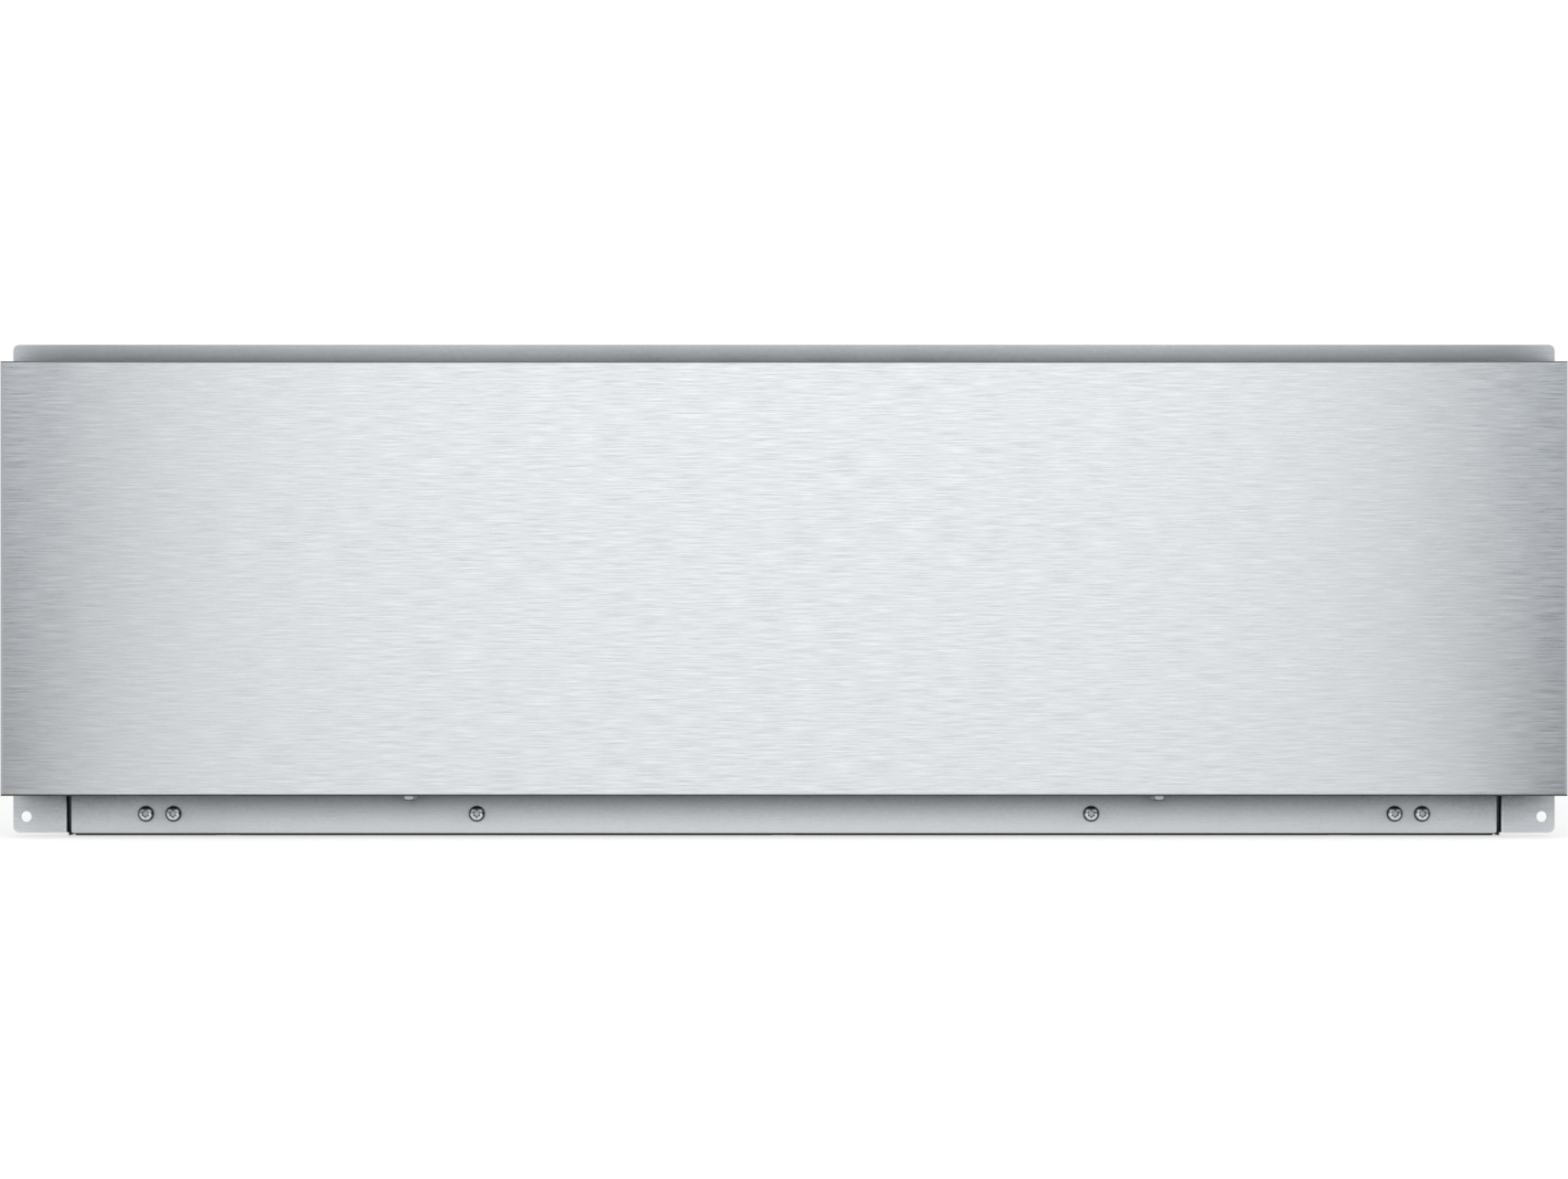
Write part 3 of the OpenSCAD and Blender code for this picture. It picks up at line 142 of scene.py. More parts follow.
class FrontFinish(PropertyGroup):
    """Finish of the brushed front panel, the frame and the lower rail."""

    panel_tint: tint("Panel", "Colour of the brushed front panel", (0.803, 0.830, 0.853))
    panel_roughness: share("Panel roughness", "How much the brushing blurs reflections", 0.32)
    frame_tint: tint("Frame", "Colour of the frame and the lower rail", (0.835, 0.865, 0.888))
    frame_roughness: share("Frame roughness", "How dull the frame and the rail are", 0.42)
    streak_length: length("Streak length", "Length of the brushing streaks", 0.018)
    streak_width: length("Streak width", "Width of the brushing streaks", 0.00055)
    streak_depth: length("Streak depth", "Depth of the brushing streaks", 0.000005)
    panel_contrast: share("Panel contrast", "How far the colour of the panel's streaks differs", 0.18)
    frame_contrast: share("Frame contrast", "How far the colour of the frame's streaks differs", 0.08)
    # Painted shade at the panel's foot and lower corners, a painted grey on its end bends in place of
    # their reflection, and painted shade on its bends above and below:
    panel_foot_shade: share("Panel fade", "How much darker the panel is at its foot than at its top", 0.09)
    corner_shade: share("Corner fade", "How much darker still the panel's lower corners are", 0.09)
    end_bend_painted_grey: tint("Panel ends", "Colour of the bends at the panel's ends", (0.34, 0.35, 0.365))
    bend_reach: length("Bend reach", "Depth of the darker bends", 0.0016)
    bend_shade: share("Bend shade", "How dark the panel's bends are", 0.88)
    # Painted shade on the frame and the rail under and over the panel, near the rail's ends and in
    # gaps:
    shelter_reach: length("Shelter reach", "How far the panel shades the frame", 0.04)
    end_reach: length("End reach", "How far from the rail's ends its shade deepens", 0.048)
    crevice_reach: length("Crevice reach", "How far the sides of a gap shade it", 0.0025)


class MetalFinish(PropertyGroup):
    """Finish of the metal pieces behind the front."""

    zinc_tint: tint("Galvanised", "Colour of the galvanised sheets", (0.56, 0.59, 0.61))
    spangle: length("Spangle", "Size of the zinc crystals", 0.011)
    satin_tint: tint("Satin", "Colour of the satin stainless sheets", (0.68, 0.69, 0.70))
    slide_tint: tint("Slides", "Colour of the plated slides", (0.62, 0.65, 0.69))
    screw_tint: tint("Screws", "Colour of the plated screws", (0.74, 0.75, 0.76))
    sheath_tint: tint("Element", "Colour of the heating element's sheath", (0.10, 0.095, 0.09))


class DarkFinish(PropertyGroup):
    """Finish of the plastic, ceramic, rubber and board pieces and of the insulation."""

    fascia_tint: tint("Control strip", "Colour of the control strip", (0.012, 0.012, 0.014))
    button_tint: tint("Buttons", "Colour of the push buttons", (0.20, 0.21, 0.22))
    moulded_tint: tint("Mouldings", "Colour of the black mouldings", (0.018, 0.018, 0.02))
    plunger_tint: tint("Plungers", "Colour of the latch plungers", (0.30, 0.30, 0.32))
    lens_tint: tint("Lenses", "Colour of the lamp lenses", (0.80, 0.36, 0.06))
    ceramic_tint: tint("Ceramic", "Colour of the ceramic pieces", (0.80, 0.77, 0.70))
    board_tint: tint("Boards", "Colour of the boards' solder mask", (0.012, 0.11, 0.045))
    rubber_tint: tint("Seal", "Colour of the silicone seal", (0.05, 0.052, 0.056))
    wool_tint: tint("Insulation", "Colour of the mineral wool", (0.62, 0.53, 0.33))


class SoftSizes(PropertyGroup):
    """Sizes of the insulation, the seal and the springs."""

    wool_cell: length("Wool cell", "Spacing of the insulation's mesh", 0.007)
    wool_round: length("Wool corner", "Radius of the insulation's edges", 0.005)
    wool_ripple: length("Wool ripple", "How uneven the insulation's faces are", 0.0016)
    seal_width: length("Seal width", "Width of the door seal", 0.005)
    seal_corner: length("Seal corner", "Radius of the door seal's corners at its middle", 0.0125)
    lip_rise: share("Lip rise", "Height of the seal's lips as a share of its thickness", 0.96)
    spring_wire: length("Spring wire", "Wire diameter of the latch springs", 0.0009)
    spring_turns: IntProperty(
        name="Spring turns", description="Number of turns in a latch spring", default=9, min=3, max=20
    )


class Studio(PropertyGroup):
    """Camera, floor, cards and lamp."""

    distance: length("Camera distance", "Distance of the camera from the front panel", 1.95)
    height: length("Camera height", "Height of the camera above the floor", 0.120)
    view_width: length("View width", "Width seen at the front panel", 0.7555)
    card_shift: length("Card shift", "How far all cards stand to the left", 0.006)
    card_start: length("Card start", "Distance from the panel to the lying cards' near ends", 0.015)
    card_length: length("Card length", "Distance from the panel to the cards' far ends", 1.11)
    lying_gap: length("Lying gap", "Half the gap between the lying cards at the panel", 0.369)
    lying_near: length("Near width", "Width of the lying cards at their near ends", 0.07)
    lying_far: length("Far width", "Width of the lying cards at their far ends", 0.45)
    lying_fade: length("Lying fade", "Width over which a lying card fades in", 0.09)
    lying_tint: tint("Lying cards", "Colour of the dark cards on the floor", (0.045, 0.048, 0.052))
    upright_gap: length("Upright gap", "Half the gap between the upright cards at the panel", 0.363)
    upright_width: length("Upright width", "Width of the upright cards", 2.0)
    upright_height: length("Upright height", "Height of the upright cards", 1.2)
    upright_tint: tint("Upright cards", "Colour of the upright cards", (0.02, 0.045, 0.08))
    floor_tint: tint("Floor", "Colour of the floor", (0.94, 0.94, 0.94))
    floor_glow: share("Floor glow", "How much of the floor's white is its own", 0.6)
    floor_size: length("Floor size", "Length and width of the floor", 24.0)
    floor_drop: length("Floor drop", "Distance from the object's base down to the floor", 0.0003)
    lamp_length: length("Lamp length", "Length of the lamp over the object", 3.0)
    lamp_width: length("Lamp width", "Width of the lamp over the object", 2.0)
    lamp_height: length("Lamp height", "Height of the lamp above the floor", 2.2)
    lamp_ahead: length("Lamp ahead", "How far the lamp hangs in front of the object", 1.4)
    lamp_tilt: FloatProperty(
        name="Lamp tilt", description="How far the lamp leans towards the object",
        default=math.radians(32), unit="ROTATION"
    )
    lamp_power: FloatProperty(
        name="Lamp power", description="Power of the lamp over the object", default=24.0,
        unit="POWER", min=0.0
    )


class Term:
    """A node's output, for use in Python expressions."""

    def __init__(self, finish, socket):
        self.finish = finish
        self.socket = socket

    def maths(self, operation, *terms):
        """A Math node on numbers and number terms."""
        return self.finish.node("ShaderNodeMath", {"operation": operation}, terms)

    def __add__(self, other):
        return self.maths("ADD", self, other)

    def __radd__(self, other):
        return self.maths("ADD", other, self)

    def __sub__(self, other):
        return self.maths("SUBTRACT", self, other)

    def __rsub__(self, other):
        return self.maths("SUBTRACT", other, self)

    def __mul__(self, other):
        return self.maths("MULTIPLY", self, other)

    def __rmul__(self, other):
        return self.maths("MULTIPLY", other, self)

    def __gt__(self, other):
        return self.maths("GREATER_THAN", self, other)

    def __lt__(self, other):
        return self.maths("LESS_THAN", self, other)

    def __pow__(self, other):
        return self.maths("POWER", self, other)

    def __abs__(self):
        return self.maths("ABSOLUTE", self)


class Finish:
    """One material: its constants, its nodes and what they feed."""

    def __init__(self, name, constants=None):
        self.material = bpy.data.materials.new(name)
        self.material.use_nodes = True
        self.tree = self.material.node_tree
        self.shader = self.tree.nodes["Principled BSDF"]
        for socket, value in (constants or {}).items():
            self.shader.inputs[socket].default_value = value

    def node(self, kind, settings=None, values=(), output=0):
        """Adds a node, sets it up, feeds its sockets and returns one of its outputs."""
        made = self.tree.nodes.new(kind)
        for name, setting in (settings or {}).items():
            setattr(made, name, setting)
        for key, value in values.items() if isinstance(values, dict) else enumerate(values):
            self.feed(made.inputs[key], value)
        return Term(self, made.outputs[output])

    def feed(self, socket, value):
        """Links a term to a socket, or sets the socket to a plain value."""
        if isinstance(value, Term):
            self.tree.links.new(value.socket, socket)
        else:
            socket.default_value = value

    def paint(self, socket, value):
        """Feeds one of the shader's sockets."""
        self.feed(self.shader.inputs[socket], value)

    def place(self):
        """The place on the piece, in metres, as a vector."""
        return self.node("ShaderNodeTexCoord", output="Object")

    def split(self, vector):
        """A vector's X, Y and Z."""
        first = self.node("ShaderNodeSeparateXYZ", values=[vector])
        return [Term(self, socket) for socket in first.socket.node.outputs]

    def join(self, x, y, z):
        """A vector from its X, Y and Z."""
        return self.node("ShaderNodeCombineXYZ", values=[x, y, z])

    def normal(self):
        """The way the surface faces."""
        return self.node("ShaderNodeNewGeometry", output="Normal")

    def facing(self):
        """Whether the surface faces along X, Y and Z, each as 0 or 1."""
        return [abs(axis) > 0.7 for axis in self.split(self.normal())]

    def crevice(self, reach, gain=1.15, power=3.0):
        """0 deep in a gap or corner and 1 in the open; a mask for painted shade."""
        return self.clamp(self.openness(reach) * gain) ** power

    def gap_shaded(self, colour, reach):
        """A colour with painted shade deep in gaps and corners."""
        return self.mix(self.crevice(reach), PAINTED_SHADE, colour)

    def cloud(self, vector, scale=1.0, detail=2.0, roughness=0.5):
        """Soft noise from 0 to 1; its scale is a number per metre."""
        values = {"Vector": vector, "Scale": scale, "Detail": detail, "Roughness": roughness}
        return self.node("ShaderNodeTexNoise", values=values)

    def scaled(self, along_x, along_y, along_z):
        """The place on the piece, each axis multiplied by its own number per metre."""
        x, y, z = self.split(self.place())
        return self.join(x * along_x, y * along_y, z * along_z)

    def blend(self, first, second, share):
        """Two values mixed, with the second's share."""
        return first * (1 - share) + second * share

    def mix(self, factor, first, second):
        """A colour between two colours."""
        values = {0: factor, 6: opaque(first), 7: opaque(second)}
        return self.node("ShaderNodeMix", {"data_type": "RGBA"}, values, output=2)

    def clamp(self, value):
        """A value kept from 0 to 1."""
        return self.node("ShaderNodeClamp", values=[value])

    def ramp(self, value, start, end):
        """0 where a value hasn't passed its start, 1 from its end on, and even between them."""
        return self.clamp((value - start) * (1 / (end - start)))

    def openness(self, reach, way=None, samples=16):
        """How open the space is round a point, from 0 to 1, along a way or the surface's normal."""
        values = {"Distance": reach}
        if way:
            values["Normal"] = way
        return self.node("ShaderNodeAmbientOcclusion", {"samples": samples}, values, output=1)

    def tone(self, value, base, spread):
        """The base colour, made darker and lighter by a value from 0 to 1."""
        return self.mix(value, shade(base, 1 - spread), shade(base, 1 + spread))

    def rough(self, least, spread, value):
        """Feeds the shader's roughness from its least, its spread and a value from 0 to 1."""
        self.paint("Roughness", least + value * spread)

    def bump(self, height, depth, strength=1.0):
        """Feeds the shader's normal from a height from 0 to 1 and its depth in metres."""
        values = {"Strength": strength, "Distance": depth, "Height": height}
        self.paint("Normal", self.node("ShaderNodeBump", values=values))


def opaque(value):
    """A colour with its alpha; a term stays as it is."""
    return value if isinstance(value, Term) else (*value[:3], 1.0)


def shade(value, amount):
    """A colour made lighter or darker."""
    return tuple(min(1.0, channel * amount) for channel in value)


def dress(names, finish):
    """Gives CAD nodes a finish."""
    for name in names:
        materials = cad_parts[name].data.materials
        materials.clear()
        materials.append(finish.material)


def brushed_sheet(name, base, roughness, contrast, front):
    """Sheet brushed along its length: fine streaks in colour, gloss and height."""
    finish = Finish(name, {"Metallic": 1.0, "Anisotropic": 0.4, "Anisotropic Rotation": 0.25})
    x, y, z = finish.split(finish.place())
    side, _, level = finish.facing()
    along = x * (1 - side) + y * side
    across = z * (1 - level) + y * level
    lines = finish.join(along * (1 / front.streak_length), across * (1 / front.streak_width), 0.0)
    streak = finish.cloud(lines, detail=3.0, roughness=0.62)
    band = finish.cloud(finish.join(along * BANDS_ALONG, across * BANDS_ACROSS, 0.0))
    sharp = finish.clamp((streak - 0.5) * STREAK_GAIN + 0.5)
    value = finish.blend(sharp, band, BAND_SHARE)
    finish.rough(roughness - GLOSS_SPREAD / 2, GLOSS_SPREAD, value)
    finish.bump(streak, front.streak_depth)
    return finish, finish.tone(value, base, contrast)


def brushed_panel(front):
    """The front panel's sheet: painted shade on the bends above and below, a painted dull grey on the
    bends at its ends in place of their reflection, and painted shade at its foot and lower corners.
    """
    finish, colour = brushed_sheet(
        "brushed_panel", front.panel_tint, front.panel_roughness, front.panel_contrast, front
    )
    low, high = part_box("front_panel")
    x, y, z = finish.split(finish.place())
    across, _, up = finish.split(finish.normal())
    bent = y < low.y + front.bend_reach
    # The painted shade on the bend below starts at a smaller tilt than on the one above, which catches
    # more light.
    bias = 0.06
    painted_bend_shade = finish.ramp(abs(up + bias), start=0.08, end=0.635) * bent
    end = finish.ramp(abs(across), start=0.02, end=0.103) * bent
    # Painted shade, deeper towards the foot and the lower corners:
    down = (high.z - z) * (1 / (high.z - low.z))
    corner = (down * x * (1 / high.x)) ** 2.0
    shaded = painted_bend_shade * front.bend_shade + down * front.panel_foot_shade + corner * front.corner_shade
    face = finish.mix(finish.clamp(shaded), colour, PAINTED_SHADE)
    # A painted grey, not metal, on the end bends stands in for their reflection:
    finish.paint("Base Color", finish.mix(end, face, front.end_bend_painted_grey))
    finish.paint("Metallic", 1 - end)
    return finish


def brushed_frame(front):
    """The frame's and the lower rail's sheet, with painted shade where the panel and the gaps keep
    light out, painted shade on the rail's lower bend and a painted white highlight on the side bends.
    """
    finish, colour = brushed_sheet(
        "brushed_frame", front.frame_tint, front.frame_roughness, front.frame_contrast, front
    )
    low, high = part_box("front_panel")
    x, _, z = finish.split(finish.place())
    across, _, up = finish.split(finish.normal())
    middle = (low.z + high.z) / 2
    turn = 0.0417  # half the height over which the shade's way turns from up to down
    upper = finish.ramp(z, middle - turn, middle + turn)
    rail_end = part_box("bottom_front_rail")[1].x
    # Painted shade from how open the space is towards the panel, deeper near the rail's ends:
    outer = finish.ramp(abs(x), rail_end - front.end_reach, rail_end) * (1 - upper)
    ahead = finish.join(0.0, -0.5, 0.87 * (1 - 2 * upper))
    closed = 0.026 + outer * 0.09
    gain = 3.35 - 0.75 * upper + 2.2 * outer
    sheltered = finish.clamp((finish.openness(front.shelter_reach, ahead) - closed) * gain)
    # Painted shade on the rail's lower bend and in gaps:
    lip = finish.ramp(up, start=-0.08, end=-0.413) * (z < front.bend_reach)
    light = sheltered * finish.crevice(front.crevice_reach) * (1 - lip)
    # Painted highlight: white is painted on the bends of the frame's sides at one tilt.
    painted_glint = finish.ramp(abs(abs(across) - 0.3), start=0.2, end=0.0) * 0.7
    finish.paint("Base Color", finish.mix(light, PAINTED_SHADE, finish.mix(painted_glint, colour, WHITE)))
    return finish


def galvanised_sheet(name, base, spangle):
    """Zinc-coated sheet: a mosaic of crystals, each with its own tone, and painted shade deep in gaps.
    """
    finish = Finish(name, {"Metallic": 1.0})
    place = finish.place()
    values = {"Vector": place, "Scale": 1 / spangle}
    crystal = finish.split(finish.node("ShaderNodeTexVoronoi", values=values, output="Color"))[0]
    dust = finish.cloud(place, scale=900.0)
    value = finish.blend(crystal, dust, share=0.4)
    finish.paint("Base Color", finish.gap_shaded(finish.tone(value, base, spread=0.13), reach=0.008))
    finish.rough(0.38, 0.16, value)
    finish.bump(dust, depth=0.00002)
    return finish


def satin_sheet(name, base):
    """Drawn stainless sheet with a soft satin sheen and faint draw lines."""
    finish = Finish(name, {"Metallic": 1.0})
    lines = finish.cloud(finish.scaled(1200.0, 24.0, 1200.0), detail=3.0)
    haze = finish.cloud(finish.place(), scale=14.0)
    value = finish.blend(lines, haze, share=0.3)
    finish.paint("Base Color", finish.tone(value, base, spread=0.08))
    finish.rough(0.30, 0.14, value)
    finish.bump(lines, depth=0.000006)
    return finish


def plated_steel(name, base, roughness):
    """Rolled steel with a bright zinc plate, drawn along its length, warmer where it is bright."""
    finish = Finish(name, {"Metallic": 1.0})
    lines = finish.cloud(finish.scaled(1500.0, 18.0, 1500.0), detail=3.0)
    bloom = finish.cloud(finish.place(), scale=45.0)
    warm = (*base[:2], base[2] * 0.95)
    finish.paint("Base Color", finish.mix(bloom, shade(base, 0.92), shade(warm, 1.1)))
    finish.rough(roughness, 0.12, lines)
    finish.bump(lines, depth=0.000008)
    return finish


def machined_steel(name):
    """Bright steel with fine tool marks, before its colour: the finish and its marks."""
    finish = Finish(name, {"Metallic": 1.0})
    marks = finish.cloud(finish.place(), scale=1600.0, detail=3.0)
    finish.rough(0.20, 0.12, marks)
    finish.bump(marks, depth=0.000006)
    return finish, marks


def turned_steel(name, base):
    """Bright small steel pieces with fine tool marks, a little wear and painted shade in their
    crevices.
    """
    finish, _ = machined_steel(name)
    wear = finish.cloud(finish.place(), scale=260.0)
    finish.paint("Base Color", finish.gap_shaded(finish.tone(wear, base, spread=0.10), reach=0.0015))
    return finish


def domed_steel(node, base):
    """Domed screw heads with painted shade on their rims, a painted dark reflection on their upper
    sides, and painted shade in their recesses and crevices.
    """
    finish, marks = machined_steel(node + "_finish")
    y = finish.split(finish.place())[1]
    _, ahead, up = finish.split(finish.normal())
    # Painted shade on the rims and a painted dark reflection on the upper sides:
    rim_shade = finish.ramp(abs(ahead), start=0.895, end=0.862) * 0.96
    upper = finish.ramp(up, start=0.28, end=0.405) * 0.96
    recess = 0.0007  # depth behind the head's front from which a flat face is the recess's floor
    # Painted shade on the recess's floor:
    floor = (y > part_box(node)[0].y + recess) * (abs(ahead) > 0.95) * 0.5
    light = finish.crevice(reach=0.0012) * (1 - rim_shade) * (1 - upper) * (1 - floor)
    finish.paint("Base Color", finish.mix(light, PAINTED_SHADE, finish.tone(marks, base, spread=0.10)))
    return finish


def hexagon_steel(node, base):
    """Hexagon heads with painted shade on their lower chamfers and in their crevices, and darker faces
    to the front.
    """
    finish, marks = machined_steel(node + "_finish")
    _, ahead, up = finish.split(finish.normal())
    # Painted shade on the lower chamfers:
    chamfer_shade = finish.ramp(up, start=-0.1, end=-0.267) * 0.9
    face = (abs(ahead) > 0.9) * 0.45
    light = finish.crevice(reach=0.0012) * (1 - chamfer_shade) * (1 - face)
    finish.paint("Base Color", finish.mix(light, PAINTED_SHADE, finish.tone(marks, base, spread=0.10)))
    return finish


def heated_sheath(name, base):
    """Alloy tube darkened by heat, with brown tempering."""
    finish = Finish(name, {"Metallic": 0.7})
    temper = finish.cloud(finish.place(), scale=22.0)
    scale = finish.cloud(finish.place(), scale=700.0, detail=4.0)
    warm = (base[0] * 1.9, base[1] * 1.35, base[2] * 0.9)
    finish.paint("Base Color", finish.mix(finish.blend(temper, scale, share=0.3), base, warm))
    finish.rough(0.46, 0.22, scale)
    finish.bump(scale, depth=0.00003)
    return finish


def moulded(name, base, roughness, texture=0.00002):
    """Injection-moulded plastic with a fine spark-eroded texture."""
    finish = Finish(name, {"IOR": 1.5})
    fine = finish.cloud(finish.place(), scale=1400.0)
    broad = finish.cloud(finish.place(), scale=60.0)
    value = finish.blend(broad, fine, share=0.5)
    finish.paint("Base Color", finish.tone(value, base, spread=0.12))
    finish.rough(roughness, 0.10, fine)
    finish.bump(fine, texture)
    return finish


def glazed(name, base):
    """Fired ceramic with specks in the body and a soft glaze."""
    finish = Finish(name, {"IOR": 1.55})
    specks = finish.cloud(finish.place(), scale=1100.0) > 0.68
    haze = finish.cloud(finish.place(), scale=80.0)
    body = finish.tone(haze, base, spread=0.05)
    finish.paint("Base Color", finish.mix(specks, body, shade(base, 0.62)))
    finish.rough(0.32, 0.16, haze)
    finish.bump(haze, depth=0.00003)
    return finish


def within(value, middle, half):
    """Whether a value lies within half a width of a middle, as 0 or 1."""
    return abs(value - middle) < half


def symbol(finish, centre, size, drawn):
    """1 on the lines of a drawn symbol, which faces along Y, and 0 elsewhere."""
    x, _, z = finish.split(finish.place())
    u, v = x - centre.x, z - centre.z
    line = size * LINE_SHARE
    ring = within((u * u + v * v) ** 0.5, size, line)
    level = within(v, 0.0, line)
    upright = within(u, 0.0, line)
    if drawn == "power":
        gap = within(u, 0.0, 3 * line) * (v > 0.0)
        stem = upright * within(v, middle=size * 0.8, half=size * 0.5)
        return finish.clamp(ring * (1 - gap) + stem)
    if drawn == "clock":
        long_hand = upright * within(v, middle=size * 0.3, half=size * 0.35)
        short_hand = level * within(u, middle=size * 0.25, half=size * 0.3)
        return finish.clamp(ring + long_hand + short_hand)
    stroke = level * within(u, 0.0, size)
    if drawn == "plus":
        stroke = finish.clamp(stroke + upright * within(v, 0.0, size))
    return stroke


def button_cap(node, drawn, base):
    """A moulded button with its symbol printed on the front."""
    low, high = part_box(node)
    finish = Finish(node + "_cap", {"IOR": 1.5})
    fine = finish.cloud(finish.place(), scale=1400.0)
    printed = symbol(finish, (low + high) / 2, (high.x - low.x) * SYMBOL_SHARE, drawn)
    finish.paint("Base Color", finish.mix(printed, finish.tone(fine, base, spread=0.12), PALE))
    finish.rough(0.36, 0.10, fine)
    finish.bump(fine, depth=0.00002)
    return finish


def lens(name, base):
    """Amber light pipe with a faint glow of its own colour."""
    finish = Finish(name, {"IOR": 1.49, "Roughness": 0.12, "Emission Strength": 0.12})
    haze = finish.cloud(finish.place(), scale=500.0)
    finish.paint("Base Color", finish.tone(haze, base, spread=0.12))
    finish.paint("Emission Color", finish.tone(haze, base, spread=0.2))
    return finish


def silicone(name, base):
    """Dusted silicone rubber."""
    finish = Finish(name, {"IOR": 1.43})
    dust = finish.cloud(finish.place(), scale=1300.0, detail=3.0)
    finish.paint("Base Color", finish.tone(dust, base, spread=0.25))
    finish.rough(0.52, 0.2, dust)
    finish.bump(dust, depth=0.00003)
    return finish


def mineral_wool(name, base):
    """Pressed mineral wool: crossing fibres over a mottled body."""
    finish = Finish(name, {"Roughness": 0.95})
    first = finish.cloud(finish.scaled(260.0, 1400.0, 700.0), detail=4.0, roughness=0.65)
    second = finish.cloud(finish.scaled(1300.0, 240.0, 700.0), detail=4.0, roughness=0.65)
    clump = finish.cloud(finish.place(), scale=70.0, detail=3.0)
    value = finish.blend(finish.blend(first, second, share=0.5), clump, share=0.3)
    finish.paint("Base Color", finish.mix(value, shade(base, 0.62), shade(base, 1.3)))
    finish.bump(value, depth=0.0006, strength=0.8)
    return finish


def widest_levels(node):
    """The two levels along Y where most of a node's surface faces the front or the rear."""
    flat = 0.99  # least share of Y in the normal of a face that counts
    areas = {}
    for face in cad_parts[node].data.polygons:
        if abs(face.normal.y) > flat:
            level = round(face.center.y, 4)
            areas[level] = areas.get(level, 0.0) + face.area
    return sorted(sorted(areas, key=areas.get)[-2:])


def circuit_board(node, base):
    """Board with tracks under green solder mask; what stands on it is dark."""
    finish = Finish(node + "_finish", {"IOR": 1.5})
    front, back = widest_levels(node)
    half = (back - front) / 2
    x, y, z = finish.split(finish.place())
    on_board = within(y, (front + back) / 2, half * 1.1)
    cells = {"Vector": finish.join(x, 0.0, z), "Scale": 160.0}
    tracks = finish.node("ShaderNodeTexVoronoi", {"distance": "MANHATTAN"}, cells) > 0.42
    mask = finish.mix(tracks, base, shade(base, 1.8))
    speck = finish.cloud(finish.place(), scale=240.0)
    parts = finish.mix(speck, (0.02, 0.02, 0.022), (0.05, 0.05, 0.055))
    finish.paint("Base Color", finish.mix(on_board, parts, mask))
    finish.rough(0.30, 0.25, speck)
    finish.bump(tracks * on_board, depth=0.00004)
    return finish


def new_piece(name, points, faces, finish, body, slot, *replaced):
    """A smooth mesh piece that rides on a body and stands for CAD nodes."""
    mesh = bpy.data.meshes.new(name)
    mesh.from_pydata(points, [], faces)
    mesh.validate()
    mesh.shade_smooth()
    mesh.materials.append(finish.material)
    piece = bpy.data.objects.new(name, mesh)
    bpy.context.scene.collection.objects.link(piece)
    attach(piece, body)
    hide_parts(*replaced)
    return piece


def side_box(node, side):
    """The box of the solids of a node that lie on one side of the middle."""
    points = [v.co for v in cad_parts[node].data.vertices if v.co.x * side > 0]
    low = Vector(min(p[axis] for p in points) for axis in range(3))
    high = Vector(max(p[axis] for p in points) for axis in range(3))
    return low, high


def slab(low, high, cell):
    """Points and faces of a box with an even grid on each side."""
    counts = [max(2, round((high[a] - low[a]) / cell)) for a in range(3)]
    places = {}
    points = []
    faces = []

    def at(index):
        if index not in places:
            places[index] = len(points)
            points.append(Vector(low[a] + (high[a] - low[a]) * index[a] / counts[a] for a in range(3)))
        return places[index]

    for axis in range(3):
        u, v = (axis + 1) % 3, (axis + 2) % 3
        for end in (0, counts[axis]):
            for i in range(counts[u]):
                for j in range(counts[v]):
                    corners = []
                    for di, dj in ((0, 0), (1, 0), (1, 1), (0, 1)):
                        index = [0, 0, 0]
                        index[axis], index[u], index[v] = end, i + di, j + dj
                        corners.append(at(tuple(index)))
                    faces.append(corners if end else corners[::-1])
    return points, faces


def wool_batt(name, low, high, soft, finish, body, node):
    """A batt of mineral wool with soft edges and uneven faces, inside its solid's box."""
    points, faces = slab(low, high, soft.wool_cell)
    thickness = min(high - low)
    reach = min(soft.wool_round, thickness * ROUND_LIMIT)
    ripple = min(soft.wool_ripple, thickness * RIPPLE_LIMIT)
    for point in points:
        core = Vector(min(max(point[a], low[a] + reach), high[a] - reach) for a in range(3))
        out = (point - core).normalized()
        swell = 0.5 + 0.5 * noise.noise(point * SWELLS)
        dip = swell + TUFT_DEPTH * noise.noise(point * TUFTS)
        point[:] = core + out * (reach - ripple * max(0.0, min(DEEPEST_DIP, dip)))
    piece = new_piece(name, points, faces, finish, body, "insulation", node)
    return piece


def loop_points(low, high, radius, steps):
    """The middle line of a seal: a rectangle in X and Z with round corners, and its outward ways."""
    line = []
    for turn, (sx, sz) in enumerate(((1, 1), (-1, 1), (-1, -1), (1, -1))):
        centre = Vector((
            high.x - radius if sx > 0 else low.x + radius, 0.0,
            high.z - radius if sz > 0 else low.z + radius,
        ))
        for step in range(steps + 1):
            angle = math.radians(90 * turn + 90 * step / steps)
            out = Vector((math.cos(angle), 0.0, math.sin(angle)))
            line.append((centre + out * radius, out))
    return line


def spring_line(centre, radius, start, end, turns):
    """The middle line of a coil spring along Y, with closed ends."""
    closing = -0.035  # how much the ends' turns fall short of an even rise
    steps = turns * STEPS_PER_TURN
    line = []
    for step in range(steps + 1):
        part = step / steps
        rise = part + math.sin(2 * math.pi * part) * closing
        angle = 2 * math.pi * turns * part
        out = Vector((math.cos(angle), 0.0, math.sin(angle)))
        line.append((Vector((centre.x, start + (end - start) * rise, centre.z)) + out * radius, out))
    return line


